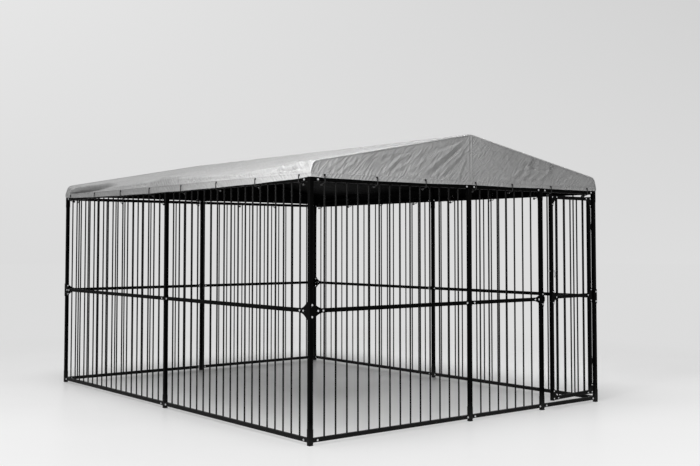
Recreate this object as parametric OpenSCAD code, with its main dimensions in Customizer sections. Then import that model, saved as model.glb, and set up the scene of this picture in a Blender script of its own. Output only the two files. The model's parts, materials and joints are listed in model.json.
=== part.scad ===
// Outdoor dog kennel run: a barred cage on nine posts, with a hinged door and a gable canopy.
// Millimetres, +Z up. The origin is on the floor in the middle of the run.
// The door wall faces -Y, and its door is at the +X end.

/* [Run] */
// Post axis to post axis along one panel of the door wall and of the wall opposite
short_panel = 1510; // [1300:10:2000]
// Post axis to post axis along one panel of the side walls
long_panel = 2000; // [1500:10:2600]
// Height of the post tops above the floor
post_top = 1795; // [1600:5:2200]
// Height of the middle rails' centre line
mid_rail_z = 895; // [700:5:1050]
// Clear height under the bottom rails
bottom_clear = 20; // [16:1:60]

/* [Posts] */
// Outside width of the square post tube
post_w = 30; // [28:1:40]
// Wall of the post tube
post_wall = 1.5; // [1:0.1:2.5]
// Corner radius of the post tube
post_round = 3; // [1.5:0.1:5]
// Height of a foot cap's flange
foot_h = 8; // [5:1:14]
// How far a foot cap's flange stands out past the post
foot_lip = 2; // [1:0.5:5]
// How deep an end cap's plug reaches into the tube
plug_depth = 20; // [10:1:40]

/* [Rails and bars] */
// Outside width of the square rail tube
rail_w = 28; // [22:1:29]
// Wall of the rail tube
rail_wall = 1.5; // [1:0.1:2.5]
// Corner radius of the rail tube
rail_round = 2.5; // [1.5:0.1:4]
// Diameter of the upright bars
bar_d = 12; // [8:0.5:14]
// Wall of the hollow bars
bar_wall = 1; // [0.8:0.1:2]
// Distance from bar to bar
bar_pitch = 98; // [80:1:120]
// Least distance from a post axis to the first bar
bar_margin = 100; // [96:1:115]
// Space left above a bar inside the top rail
bar_top_gap = 2; // [1:0.5:6]

/* [Connectors] */
// Wall of the sleeves that slide over the posts
sleeve_wall = 1.5; // [1:0.1:3]
// Height of the sleeves at the top and bottom rails
sleeve_h = 95; // [60:1:140]
// Height of the sleeves at the middle rails
mid_sleeve_h = 46; // [34:1:80]
// How far a spigot reaches, from the post axis
spigot_reach = 75; // [66:1:85]
// Post axis to the bolt of a rail end at a corner post
corner_bolt = 50; // [42:1:56]
// Post axis to the bolt of a rail end at a middle post
tee_bolt = 39; // [36:1:54]
// Thickness of the pressed brackets and plates
plate_t = 2.5; // [2:0.1:4]
// Length of a bracket's arm, from the post axis
arm_len = 108; // [104:1:112]
// Half height of a bracket's arm at its round end
arm_half = 14; // [12:0.5:15]
// Half height of a bracket at the post
bracket_half = 60; // [54:1:75]
// How far a bracket's edge curves in
bracket_sag = 9; // [4:0.5:12]
// Post axis to a bracket's inner rail bolt
inner_bolt = 50; // [42:1:56]
// Post axis to a bracket's outer rail bolt
outer_bolt = 93; // [84:1:95]
// Middle rail to a bracket's bolts on the post
post_bolt = 40; // [32:1:45]
// How far the door post's plate stands past the post, into the doorway
plate_tip = 13; // [8:0.5:16]

/* [Bolts] */
// Diameter of the frame bolts
bolt_d = 8; // [6:0.5:10]
// Width across flats of the frame bolts' heads and nuts
bolt_af = 13; // [11:0.5:15]
// Height of the frame bolts' heads
bolt_head = 5.3; // [4:0.1:7]
// Height of the frame nuts
nut_h = 6.5; // [5:0.1:8]
// How far a bolt stands out of its nut
bolt_over = 2.5; // [1:0.5:6]

/* [Roof] */
// Height of the ridge poles' centre line
ridge_z = 2166; // [2060:2:2400]
// How far the rafters' bends lie inside the post axes
eave_in = 20; // [12:1:60]
// Height of the rafters' bends above the post tops
eave_rise = 97; // [92:1:130]
// Height of the rafters' lower bends above the post tops
leg_rise = 16; // [16:1:20]
// Radius of the rafters' lower bends, at the tube's centre line
leg_bend = 32; // [28:1:40]
// Radius of the rafters' eave bends, at the tube's centre line
eave_bend = 40; // [30:1:60]
// How deep the rafters and king posts reach into the post tops
leg_depth = 90; // [50:1:150]
// Wall of the rafters, ridge poles and king posts
pole_wall = 1.2; // [1:0.1:2]
// Height of the collars that seat the rafters and king posts on the post tops
collar_h = 4; // [3:0.5:6]
// Wall of the ridge connectors
socket_wall = 2.2; // [2:0.1:3]
// Length of a ridge connector's arms, from its middle
socket_len = 75; // [60:1:110]
// Ridge connector's middle to the end of each pole in it
pole_stop = 20; // [18:1:30]

/* [Canopy] */
// Thickness of the canopy cloth, with its coating and its fold allowance
cloth_t = 3; // [2:0.5:5]
// Height of the hem band
hem_h = 28; // [26:1:36]
// Thickness of the hem band
hem_t = 2.5; // [2:0.1:3]
// How far the hem hangs down over the rail in the middle of a long panel
hem_droop = 16; // [0:1:18]
// How far the hem lifts off the rail in the middle of a panel of the back wall
hem_lift = 8; // [0:1:8]
// How far the cloth sags between two pairs of rafters
cloth_sag = 40; // [0:1:44]
// How far the gable cloth draws in beside the king post
gable_draw = 7; // [0:0.5:10]
// Height of the creases in the cloth
crease_h = 5; // [0:0.5:8]
// Ties along a short wall
short_ties = 7; // [3:2:9]
// Ties along a long wall
long_ties = 8; // [4:2:12]
// Post axis to the outermost tie
tie_margin = 105; // [95:1:110]
// Diameter of the tie cords
tie_d = 6; // [4:0.5:6]
// Diameter of the tie balls
tie_ball = 20; // [16:1:22]

/* [Door] */
// Post axis to post axis of the doorway
doorway = 686; // [600:1:760]
// Post axis to stile axis, on both sides of the door
door_gap = 69; // [66:1:76]
// Angle at which the door stands open
door_ajar = 5; // [0:0.5:30]
// Floor to the door's lower edge
door_low = 78; // [70:1:120]
// Post tops to the door's upper edge
door_drop = 55; // [54:1:90]
// Height of the door's middle rail
door_mid_z = 910; // [700:5:1050]
// Outside width of the door's square tube
door_tube = 28; // [25:1:30]
// Wall of the door's tube
door_wall = 1.5; // [1:0.1:2.5]
// Corner radius of the door's tube
door_round = 3; // [1.5:0.1:4]
// Distance from bar to bar in the door
door_pitch = 95; // [85:1:110]
// Least distance from a stile axis to the door's first bar
door_margin = 80; // [76:1:84]
// Leg length of the door's corner gussets, from the joint's middle
gusset_leg = 72; // [60:1:78]
// Leg length of the door's middle plates, from the joint's middle
mid_leg = 58; // [50:1:70]
// Distance of a gusset's bolts from the ends of its legs
gusset_edge = 13; // [10:0.5:18]
// Diameter of the door's bolts
door_bolt_d = 6; // [5:0.5:8]
// Width across flats of the door's bolt heads and nuts
door_bolt_af = 10; // [9:0.5:13]
// Height of the door's bolt heads
door_bolt_head = 4; // [3:0.1:5]
// Height of the door's nuts
door_nut_h = 5; // [4:0.1:6]

/* [Hinges] */
// Diameter of the hinge pins
pin_d = 12; // [10:0.5:14]
// Outside diameter of the hinge eyes
eye_d = 20; // [18:0.5:22]
// Height of a hinge eye
eye_h = 32; // [24:1:50]
// Height of a pintle's shoulder under the eye
shoulder_h = 12; // [8:1:20]
// Distance of the hinges from the door's upper and lower edges
hinge_inset = 260; // [200:5:380]
// Thickness of the hinge leaves
leaf_t = 4; // [3:0.5:5]
// Width of the hinge leaves
leaf_w = 22; // [16:1:24]
// Height of the hinge leaves
leaf_h = 70; // [50:1:110]

/* [Latch] */
// Height of the latch bolt
latch_z = 1122; // [1040:2:1300]
// Diameter of the latch bolt
latch_d = 10; // [8:0.5:12]
// How far the latch bolt stands out of the stile at rest
latch_out = 24; // [16:1:26]
// How far the latch bolt reaches past the stile axis on its handle's side
latch_back = 56; // [50:1:58]
// Length of the drop handle below the latch bolt
handle_drop = 48; // [30:1:80]
// Diameter of the drop handle's ball end
handle_ball = 12; // [10:0.5:13]
// Thickness of the latch guides and the keeper
keeper_t = 2.5; // [2:0.1:4]
// Width of the latch guides and the keeper
keeper_w = 22; // [18:1:24]
// Height of the latch guides and the keeper
keeper_h = 44; // [34:1:70]

/* [Fits] */
// Space between a sleeve or a plug and its post, each side
sleeve_fit = 0.3; // [0.2:0.05:0.4]
// Space between a spigot and its rail, each side
spigot_fit = 0.3; // [0.2:0.05:0.4]
// Space around a bar in its holes
bar_fit = 0.2; // [0.1:0.05:0.4]
// Space between a rail's end and what it meets
butt_fit = 0.2; // [0.1:0.05:0.4]
// Space around a bolt in its hole
bolt_fit = 0.3; // [0.2:0.05:0.6]
// Space between a bolt's shank and its nut
thread_fit = 0.1; // [0.05:0.05:0.2]
// Space between a pole and the tube or socket that it slides into
pole_fit = 0.4; // [0.2:0.05:0.5]
// Space between a tie cord and the rail that it hugs
tie_fit = 0.3; // [0.2:0.05:0.6]
// Space between the cloth and the ridge connectors
cloth_fit = 0.3; // [0.2:0.05:0.6]
// Radial play of the hinge pins
pin_fit = 0.06; // [0.03:0.01:0.09]
// Space between a hinge eye and its shoulder
eye_fit = 0.3; // [0.2:0.05:0.5]
// Radial play of the latch bolt in its guides
latch_fit = 0.08; // [0.03:0.01:0.09]
// Space around the latch bolt in the keeper
keeper_fit = 1; // [0.6:0.1:1.6]

/* [Hidden] */
$fn = 40;

frame_black = "#1c1c1e";
plastic_black = "#111113";
zinc = "#c9ccd0";
cloth_grey = "#a5a7a9";
hem_grey = "#b9bbbd";

// The walls in turn, anticlockwise from the door wall as seen from above
WALLS = [0, 1, 2, 3];
FRONT = WALLS[0];
RIGHT = WALLS[1];
BACK = WALLS[2];
LEFT = WALLS[3];
door_s = short_panel - doorway;
bottom_z = bottom_clear + rail_w / 2;
top_z = post_top - rail_w / 2;
least_round = 0.2;
sleeve_in = post_w + 2 * sleeve_fit;
sleeve_w = sleeve_in + 2 * sleeve_wall;
spigot_w = rail_w - 2 * rail_wall - 2 * spigot_fit;
pole_d = post_w - 2 * post_wall - 2 * pole_fit;
socket_in = pole_d + 2 * pole_fit;
socket_d = socket_in + 2 * socket_wall;
socket_swell = 0.6;
socket_ball = socket_d + 2 * socket_swell;
plug_w = post_w - 2 * post_wall - 2 * sleeve_fit;
hinge_s = short_panel - door_gap / 2;
hinge_stile_s = short_panel - door_gap;
latch_stile_s = door_s + door_gap;
door_top = post_top - door_drop;
hinge_heights = [door_low + hinge_inset, door_top - hinge_inset];
hem_low = post_top + collar_h / 2;
hem_top = hem_low + hem_h;
cloth_n = socket_ball / 2 + cloth_fit;

// Panel length, axis to axis, of a wall
function panel(wall) = wall % 2 == 0 ? short_panel : long_panel;

// Spans between posts: where they start and end along a wall, and how each end is joined
function spans(wall, level) =
    let (p = panel(wall), corner = level == "mid" ? "plate" : "corner")
    wall != FRONT ? [[-p, 0, corner, "tee"], [0, p, "tee", corner]] :
    level == "mid" ? [[-p, 0, corner, "tee"], [0, door_s, "tee", "plate"]] :
    [[-p, 0, corner, "tee"], [0, door_s, "tee", "tee"], [door_s, p, "tee", corner]];
function level_z(level) = level == "top" ? top_z : level == "mid" ? mid_rail_z : bottom_z;
function end_space(joint) = (joint == "plate" ? post_w : sleeve_w) / 2 + butt_fit;
function end_bolts(joint) =
    joint == "plate" ? [inner_bolt, outer_bolt] : joint == "tee" ? [tee_bolt] : [corner_bolt];

// Places of the bars between two posts, evenly about the middle
function bars_between(a, b, margin, pitch) =
    let (n = floor((b - a - 2 * margin) / pitch), first = (a + b - n * pitch) / 2)
    [for (i = [0 : n]) first + i * pitch];
function wall_bars(wall) =
    [for (span = spans(wall, "mid")) each bars_between(span[0], span[1], bar_margin, bar_pitch)];
function door_bars_s() = bars_between(latch_stile_s, hinge_stile_s, door_margin, door_pitch);

// Bolts of one wall: place along it, height, outer seat and inner seat from the wall's middle plane
function rail_bolts(wall) =
    [for (level = ["top", "mid", "bottom"], span = spans(wall, level), side = [0, 1])
        for (offset = end_bolts(span[2 + side]))
            [span[side] + (side == 0 ? offset : -offset), level_z(level),
                span[2 + side] == "plate" ? post_w / 2 + plate_t : rail_w / 2, rail_w / 2]];
function post_bolts(wall) =
    wall % 2 == 1 ? [] :
    [for (s = concat([-panel(wall), panel(wall)], wall == FRONT ? [door_s] : []), side = [-1, 1])
        [s, mid_rail_z + side * post_bolt, post_w / 2 + plate_t, post_w / 2]];
function wall_bolts(wall) = concat(rail_bolts(wall), post_bolts(wall));

// Tie places along a wall, moved just clear of bars and posts
tie_clear = 1;
tie_spare = 4;
tie_to_bar = bar_d / 2 + tie_d / 2 + tie_clear;
tie_to_post = tee_bolt + bolt_af / 2 + tie_d + tie_spare;
function away(s, from, least) =
    abs(s - from) >= least ? s : from + (s < from ? -least : least);
function clear_of(s, list, least, i = 0) =
    i == len(list) ? s : clear_of(away(s, list[i], least), list, least, i + 1);
function wall_ties(wall) =
    let (p = panel(wall), n = wall % 2 == 0 ? short_ties : long_ties, reach = p - tie_margin)
    [for (i = [0 : n - 1])
        clear_of(clear_of(-reach + 2 * reach * i / (n - 1), wall == FRONT ? [0, door_s] : [0], tie_to_post),
            wall_bars(wall), tie_to_bar)];

// Places its children on a wall: x along the wall to the right as seen from outside, y inwards
module on_wall(wall) {
    offsets = [[0, -long_panel, 0], [short_panel, 0, 0], [0, long_panel, 0], [-short_panel, 0, 0]];
    translate(offsets[wall]) rotate([0, 0, 90 * wall]) children();
}

// Turns its children with the door, about the hinge pins
module on_door() {
    translate([hinge_s, -long_panel, 0]) rotate([0, 0, door_ajar]) translate([-hinge_s, 0, 0]) children();
}

module rounded_square(w, r) {
    square([w - 2 * r, w], center = true);
    square([w, w - 2 * r], center = true);
    for (x = [-1, 1], y = [-1, 1])
        translate([x * (w / 2 - r), y * (w / 2 - r)]) circle(r);
}

module square_tube(length, w, wall, r) {
    linear_extrude(length) difference() {
        rounded_square(w, r);
        rounded_square(w - 2 * wall, max(r - wall, least_round));
    }
}

// A square tube along x, from a to b
module tube_along(a, b, w, wall, r) {
    translate([a, 0, 0]) rotate([0, 90, 0]) square_tube(b - a, w, wall, r);
}

// A drill across a wall, along y
module cross_drill(s, z, d, reach) {
    translate([s, reach, z]) rotate([90, 0, 0]) cylinder(h = 2 * reach, d = d);
}

// A bend is a hair thicker than the straight rod, and the straights run a little way into it
bend_swell = 0.2;
bend_lap = 0.6;

// A round rod along a flat path of points, with bends of radius r
module bent_rod(path, r, d) {
    last = len(path) - 1;
    function unit(v) = v / norm(v);
    function heading(v) = atan2(v[1], v[0]);
    function turn(i) =
        let (t = heading(path[i + 1] - path[i]) - heading(path[i] - path[i - 1])) t - 360 * round(t / 360);
    function bend(i) = is_list(r) ? r[i - 1] : r;
    function cut(i) = i == 0 || i == last ? 0 : bend(i) * tan(abs(turn(i)) / 2);
    for (i = [0 : last - 1]) {
        along = unit(path[i + 1] - path[i]);
        low = cut(i) - (i == 0 ? 0 : bend_lap);
        high = norm(path[i + 1] - path[i]) - cut(i + 1) + (i + 1 == last ? 0 : bend_lap);
        start = path[i] + along * low;
        translate([start[0], start[1], 0]) rotate([0, 0, heading(along)]) rotate([0, 90, 0])
            cylinder(h = high - low, d = d);
    }
    for (i = [1 : last - 1]) {
        before = unit(path[i] - path[i - 1]);
        side = turn(i) > 0 ? 1 : -1;
        centre = path[i] - before * cut(i) + side * bend(i) * [-before[1], before[0]];
        first = side > 0 ? heading(before) - 90 : heading(path[i + 1] - path[i]) + 90;
        translate([centre[0], centre[1], 0]) rotate([0, 0, first])
            rotate_extrude(angle = abs(turn(i))) translate([bend(i), 0]) circle(d = d + bend_swell);
    }
}

// A hexagon bolt along y with its head's seat at y = -seat, and the nut on its far end
module hex_bolt(seat, grip, d, af, head, nut, over) {
    rotate([90, 0, 0]) {
        translate([0, 0, seat]) cylinder(h = head, d = af / cos(30), $fn = 6);
        translate([0, 0, -grip - nut - over]) cylinder(h = seat + grip + nut + over, d = d);
    }
}

module hex_nut(grip, d, af, nut) {
    rotate([90, 0, 0]) translate([0, 0, -grip - nut]) difference() {
        cylinder(h = nut, d = af / cos(30), $fn = 6);
        translate([0, 0, -1]) cylinder(h = nut + 2, d = d + 2 * thread_fit);
    }
}

// Cuts the hollow edge of a plate between two corner points, and takes a little off both corners
module hollow_edge(p, q, sag) {
    bite = 0.4;
    chord = norm(q - p);
    radius = chord * chord / (8 * sag) + sag / 2;
    normal = [p[1] - q[1], q[0] - p[0]] / chord;
    centre = (p + q) / 2 + normal * (radius - sag - bite);
    translate(centre) circle(radius, $fn = 120);
}

// Posts

module post_tube() {
    color(frame_black) translate([0, 0, foot_h])
        square_tube(post_top - foot_h, post_w, post_wall, post_round);
}

module plain_post(wall, s) {
    on_wall(wall) translate([s, 0, 0]) post_tube();
}

// A corner post, or the door post, drilled for its bracket's two bolts
module drilled_post(wall, s) {
    color(frame_black) on_wall(wall) difference() {
        translate([s, 0, 0]) post_tube();
        for (side = [-1, 1])
            cross_drill(s, mid_rail_z + side * post_bolt, bolt_d + 2 * bolt_fit, post_w);
    }
}

module front_left_post() { drilled_post(FRONT, -short_panel); }
module front_right_post() { drilled_post(FRONT, short_panel); }
module back_left_post() { drilled_post(BACK, short_panel); }
module back_right_post() { drilled_post(BACK, -short_panel); }
module front_mid_post() { plain_post(FRONT, 0); }
module back_mid_post() { plain_post(BACK, 0); }
module left_mid_post() { plain_post(LEFT, 0); }
module right_mid_post() { plain_post(RIGHT, 0); }

module door_post() {
    color(frame_black) difference() {
        drilled_post(FRONT, door_s);
        on_wall(FRONT) translate([door_s, 0, latch_z]) rotate([0, 90, 0])
            cylinder(h = post_w, d = latch_d + 2 * keeper_fit);
    }
}

// A moulded cap with a flange outside the tube and a plug inside it
module end_cap(outer, plug, h) {
    linear_extrude(h / 3) rounded_square(outer - 2 * foot_lip, post_round);
    translate([0, 0, h / 3]) linear_extrude(2 * h / 3) rounded_square(outer, post_round + foot_lip);
    translate([0, 0, h]) linear_extrude(plug_depth)
        rounded_square(plug, max(post_round - post_wall, least_round));
}

module foot_caps() {
    color(plastic_black) {
        for (wall = WALLS, s = [0, panel(wall)])
            on_wall(wall) translate([s, 0, 0]) end_cap(post_w + 2 * foot_lip, plug_w, foot_h);
        on_wall(FRONT) translate([door_s, 0, 0]) end_cap(post_w + 2 * foot_lip, plug_w, foot_h);
    }
}

module door_post_cap() {
    color(plastic_black) on_wall(FRONT) translate([door_s, 0, post_top]) {
        linear_extrude(collar_h / 2) rounded_square(post_w, post_round);
        translate([0, 0, -plug_depth]) linear_extrude(plug_depth)
            rounded_square(plug_w, max(post_round - post_wall, least_round));
    }
}

// Rails and bars

// The rails of one wall at one level, drilled for its bars and bolts
module wall_rails(wall, level) {
    z = level_z(level);
    low = level == "top" ? z - rail_w : level == "mid" ? z - rail_w : z;
    high = level == "bottom" ? z + rail_w : level == "mid" ? z + rail_w : z;
    color(frame_black) on_wall(wall) for (span = spans(wall, level)) {
        a = span[0] + end_space(span[2]);
        b = span[1] - end_space(span[3]);
        barred = !(wall == FRONT && span[0] == door_s);
        difference() {
            translate([0, 0, z]) tube_along(a, b, rail_w, rail_wall, rail_round);
            if (barred)
                for (s = bars_between(span[0], span[1], bar_margin, bar_pitch))
                    translate([s, 0, low]) cylinder(h = high - low, d = bar_d + 2 * bar_fit);
            for (offset = end_bolts(span[2]))
                cross_drill(span[0] + offset, z, bolt_d + 2 * bolt_fit, rail_w);
            for (offset = end_bolts(span[3]))
                cross_drill(span[1] - offset, z, bolt_d + 2 * bolt_fit, rail_w);
        }
    }
}

module front_top_rails() { wall_rails(FRONT, "top"); }
module front_mid_rails() { wall_rails(FRONT, "mid"); }
module front_bottom_rails() { wall_rails(FRONT, "bottom"); }
module right_top_rails() { wall_rails(RIGHT, "top"); }
module right_mid_rails() { wall_rails(RIGHT, "mid"); }
module right_bottom_rails() { wall_rails(RIGHT, "bottom"); }
module back_top_rails() { wall_rails(BACK, "top"); }
module back_mid_rails() { wall_rails(BACK, "mid"); }
module back_bottom_rails() { wall_rails(BACK, "bottom"); }
module left_top_rails() { wall_rails(LEFT, "top"); }
module left_mid_rails() { wall_rails(LEFT, "mid"); }
module left_bottom_rails() { wall_rails(LEFT, "bottom"); }

module hollow_bar(low, high, d, wall) {
    translate([0, 0, low]) difference() {
        cylinder(h = high - low, d = d);
        translate([0, 0, -1]) cylinder(h = high - low + 2, d = d - 2 * wall);
    }
}

// The bars of one wall stand on the floor of its bottom rails
module bar_row(wall) {
    color(frame_black) on_wall(wall) for (s = wall_bars(wall))
        translate([s, 0, 0])
            hollow_bar(bottom_clear + rail_wall, post_top - rail_wall - bar_top_gap, bar_d, bar_wall);
}

module front_bars() { bar_row(FRONT); }
module right_bars() { bar_row(RIGHT); }
module back_bars() { bar_row(BACK); }
module left_bars() { bar_row(LEFT); }

// Connectors

// A spigot along +x that a rail slides over, drilled for the rail's bolt
module spigot(bolt_at) {
    difference() {
        tube_along((sleeve_w - sleeve_wall) / 2, spigot_reach, spigot_w, rail_wall, rail_round - spigot_fit);
        cross_drill(bolt_at, 0, bolt_d + 2 * bolt_fit, rail_w);
    }
}

// A sleeve round a post, with spigots at the given angles and height
module post_sleeve(low, h, z, angles, bolt_at) {
    difference() {
        union() {
            translate([0, 0, low]) linear_extrude(h)
                rounded_square(sleeve_w, post_round + sleeve_fit + sleeve_wall);
            for (angle = angles)
                translate([0, 0, z]) rotate([0, 0, angle]) spigot(bolt_at);
        }
        translate([0, 0, low - 1]) linear_extrude(h + 2) rounded_square(sleeve_in, post_round + sleeve_fit);
    }
}

sleeve_under = 6;
sleeve_low = bottom_clear - sleeve_under;
sleeve_spans = [[sleeve_low, bottom_z], [post_top - sleeve_h, top_z]];

module corner_sleeves() {
    color(frame_black) for (wall = WALLS, span = sleeve_spans)
        on_wall(wall) translate([panel(wall), 0, 0])
            post_sleeve(span[0], sleeve_h, span[1], [90, 180], corner_bolt);
}

module tee_sleeves() {
    color(frame_black) {
        for (wall = WALLS, span = sleeve_spans)
            on_wall(wall) post_sleeve(span[0], sleeve_h, span[1], [0, 180], tee_bolt);
        for (wall = WALLS)
            on_wall(wall)
                post_sleeve(mid_rail_z - mid_sleeve_h / 2, mid_sleeve_h, mid_rail_z, [0, 180], tee_bolt);
        for (span = sleeve_spans)
            on_wall(FRONT) translate([door_s, 0, 0])
                post_sleeve(span[0], sleeve_h, span[1], [0, 180], tee_bolt);
    }
}

// Outline of a bracket's flange: the post's full height, drawn in to an arm along +x
module arm_outline(back, armed) {
    half = post_w / 2;
    root = [half, bracket_half];
    tip = [arm_len - arm_half, arm_half];
    if (armed) {
        difference() {
            polygon([[-back, -root[1]], [root[0], -root[1]], [tip[0], -tip[1]], tip, root, [-back, root[1]]]);
            hollow_edge(root, tip, bracket_sag);
            mirror([0, 1]) hollow_edge(root, tip, bracket_sag);
        }
        translate([tip[0], 0]) circle(arm_half);
    } else {
        translate([-back, -bracket_half]) square([back + half, 2 * bracket_half]);
    }
}

// A flange against the post's outer face, with pressed bosses that reach the thinner rail
boss_rim = 2.5;
module bracket_flange(back, armed, posted) {
    rise = (post_w - rail_w) / 2;
    rotate([90, 0, 0]) difference() {
        union() {
            translate([0, 0, post_w / 2]) linear_extrude(plate_t) arm_outline(back, armed);
            if (armed)
                for (at = [inner_bolt, outer_bolt])
                    translate([at, 0, post_w / 2 - rise])
                        cylinder(h = rise + plate_t / 2, d = bolt_af + 2 * boss_rim);
        }
        if (armed)
            for (at = [inner_bolt, outer_bolt])
                translate([at, 0, 0]) cylinder(h = post_w, d = bolt_d + 2 * bolt_fit);
        if (posted)
            for (side = [-1, 1])
                translate([0, side * post_bolt, 0]) cylinder(h = post_w, d = bolt_d + 2 * bolt_fit);
    }
}

// The right-hand end of each wall carries one bracket, bent round the corner post
module corner_brackets() {
    color(frame_black) for (wall = WALLS)
        on_wall(wall) translate([panel(wall), 0, mid_rail_z]) {
            mirror([1, 0, 0]) bracket_flange(post_w / 2 + plate_t, wall != FRONT, wall % 2 == 0);
            rotate([0, 0, 90]) bracket_flange(post_w / 2 + plate_t, true, wall % 2 == 1);
        }
}

module door_post_plate() {
    lap = post_w / 4;
    color(frame_black) on_wall(FRONT) translate([door_s, 0, mid_rail_z]) {
        mirror([1, 0, 0]) bracket_flange((post_w - lap) / 2, true, true);
        rotate([90, 0, 0]) translate([post_w / 2, 0, post_w / 2]) linear_extrude(plate_t) difference() {
            polygon([[-lap, -bracket_half], [0, -bracket_half], [plate_tip, -arm_half], [plate_tip, arm_half],
                [0, bracket_half], [-lap, bracket_half]]);
            hollow_edge([0, bracket_half], [plate_tip, arm_half], bracket_sag / 2);
            mirror([0, 1]) hollow_edge([0, bracket_half], [plate_tip, arm_half], bracket_sag / 2);
        }
    }
}

module frame_bolts() {
    color(zinc) for (wall = WALLS, bolt = wall_bolts(wall))
        on_wall(wall) translate([bolt[0], 0, bolt[1]])
            hex_bolt(bolt[2], bolt[3], bolt_d, bolt_af, bolt_head, nut_h, bolt_over);
}

module frame_nuts() {
    color(zinc) for (wall = WALLS, bolt = wall_bolts(wall))
        on_wall(wall) translate([bolt[0], 0, bolt[1]]) hex_nut(bolt[3], bolt_d, bolt_af, nut_h);
}

// Roof frame

eave = [short_panel - eave_in, post_top + eave_rise];
leg_knee = [short_panel, post_top + leg_rise];
roof_slope = atan2(ridge_z - eave[1], eave[0]);
rafter_up = [-cos(roof_slope), sin(roof_slope)];
rafter_top = [0, ridge_z] - rafter_up * pole_stop;
rafter_path = [[short_panel, post_top - leg_depth], leg_knee, eave, rafter_top];

// The seat that holds a pole's leg on the rim of its post
collar_inset = 0.5;
module seat_collar() {
    translate([0, 0, post_top]) cylinder(h = collar_h, d = post_w - 2 * collar_inset);
}

module rafter(y) {
    bends = [leg_bend, eave_bend];
    translate([0, y, 0]) difference() {
        union() {
            rotate([90, 0, 0]) bent_rod(rafter_path, bends, pole_d);
            translate([short_panel, 0, 0]) seat_collar();
        }
        rotate([90, 0, 0]) bent_rod(rafter_path, bends, pole_d - 2 * pole_wall);
    }
}

rafter_rows = [-long_panel, 0, long_panel];

module right_rafters() {
    color(frame_black) for (y = rafter_rows) rafter(y);
}

module left_rafters() {
    color(frame_black) mirror([1, 0, 0]) for (y = rafter_rows) rafter(y);
}

module pole_along_y(a, b) {
    translate([0, b, ridge_z]) rotate([90, 0, 0]) difference() {
        cylinder(h = b - a, d = pole_d);
        translate([0, 0, -1]) cylinder(h = b - a + 2, d = pole_d - 2 * pole_wall);
    }
}

module ridge_poles() {
    color(frame_black) {
        pole_along_y(-long_panel + pole_stop, -pole_stop);
        pole_along_y(pole_stop, long_panel - pole_stop);
    }
}

// Directions of a ridge connector's sockets, as turns from +Z about X and then Y
rafter_turn = 90 - roof_slope;
socket_turns = [
    [[-90, 0], [0, rafter_turn + 2 * roof_slope], [0, -rafter_turn - 2 * roof_slope], [0, 180]],
    [[-90, 0], [90, 0], [0, rafter_turn + 2 * roof_slope], [0, -rafter_turn - 2 * roof_slope]],
    [[90, 0], [0, rafter_turn + 2 * roof_slope], [0, -rafter_turn - 2 * roof_slope], [0, 180]]];

// A ridge connector's ball is a little thicker than its arms
module ridge_connector(turns) {
    difference() {
        union() {
            sphere(d = socket_ball);
            for (t = turns) rotate([t[0], t[1], 0]) cylinder(h = socket_len, d = socket_d);
        }
        for (t = turns)
            rotate([t[0], t[1], 0]) translate([0, 0, pole_stop - pole_fit])
                cylinder(h = socket_len, d = socket_in);
    }
}

module ridge_connectors() {
    color(plastic_black) for (i = [0 : 2])
        translate([0, rafter_rows[i], ridge_z]) ridge_connector(socket_turns[i]);
}

module king_posts() {
    color(frame_black) for (y = [-long_panel, long_panel])
        translate([0, y, 0]) difference() {
            union() {
                translate([0, 0, post_top - leg_depth])
                    cylinder(h = ridge_z - pole_stop - post_top + leg_depth, d = pole_d);
                seat_collar();
            }
            translate([0, 0, post_top - leg_depth - 1])
                cylinder(h = ridge_z - post_top + leg_depth, d = pole_d - 2 * pole_wall);
        }
}

// Canopy

across = 8;
along = 24;
gable_across = 12;
across_points = 2 * across + 1;
roof_points = across_points * (along + 1);
gable_points = across * (gable_across - 1);
shell_points = roof_points + 2 * gable_points;

// Half of the canopy's cross-section, from the hem to the ridge, at q outside the cloth's inner face.
// The middle point of the eave bend stands out, so that the flat faces beside it clear the rafter.
function cloth_profile(q) =
    let (
        off = cloth_n + q,
        leg = (eave - leg_knee) / norm(eave - leg_knee),
        leg_out = [leg[1], -leg[0]],
        up_out = [rafter_up[1], -rafter_up[0]],
        sweep = acos(leg * rafter_up),
        cut = eave_bend * tan(sweep / 2),
        middle = eave - leg * cut - leg_out * eave_bend,
        first = atan2(leg_out[1], leg_out[0]),
        hem = [short_panel + off, hem_top],
        full = 1 / pow(cos(sweep / 4), 2),
        bend = [for (k = [0 : 2]) middle + (eave_bend + off) * (k == 1 ? full : 1)
            * [cos(first + sweep * k / 2), sin(first + sweep * k / 2)]],
        peak = [0, ridge_z + off / cos(roof_slope)]
    )
    [hem, (hem + bend[0]) / 2, each bend, for (k = [1 : 4]) bend[2] + (peak - bend[2]) * k / 4];

// Share of the sag at each row of points, from the hem to the ridge
row_sag = [0, 0.43, 0.86, 1, 0.97, 0.83, 0.6, 0.31, 0];
sag_in = 0.5;

// Sag between the rafters, steepest beside them, and long creases that run slantwise up the slope
function roof_point(i, j, q, profile) =
    let (
        right = j > across,
        row = right ? 2 * across - j : j,
        y = (long_panel + cloth_n + q) * (2 * i / along - 1),
        bay = pow(abs(sin(180 * 2 * i / along)), 0.7) * row_sag[row],
        crease = crease_h * bay * sin(360 * (3 * i / along + 0.7 * row / across)),
        x = profile[row][0] - sag_in * cloth_sag * bay * min(1, (across - row) / 4)
    )
    [right ? x : -x, y, profile[row][1] - cloth_sag * bay + crease];

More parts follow.
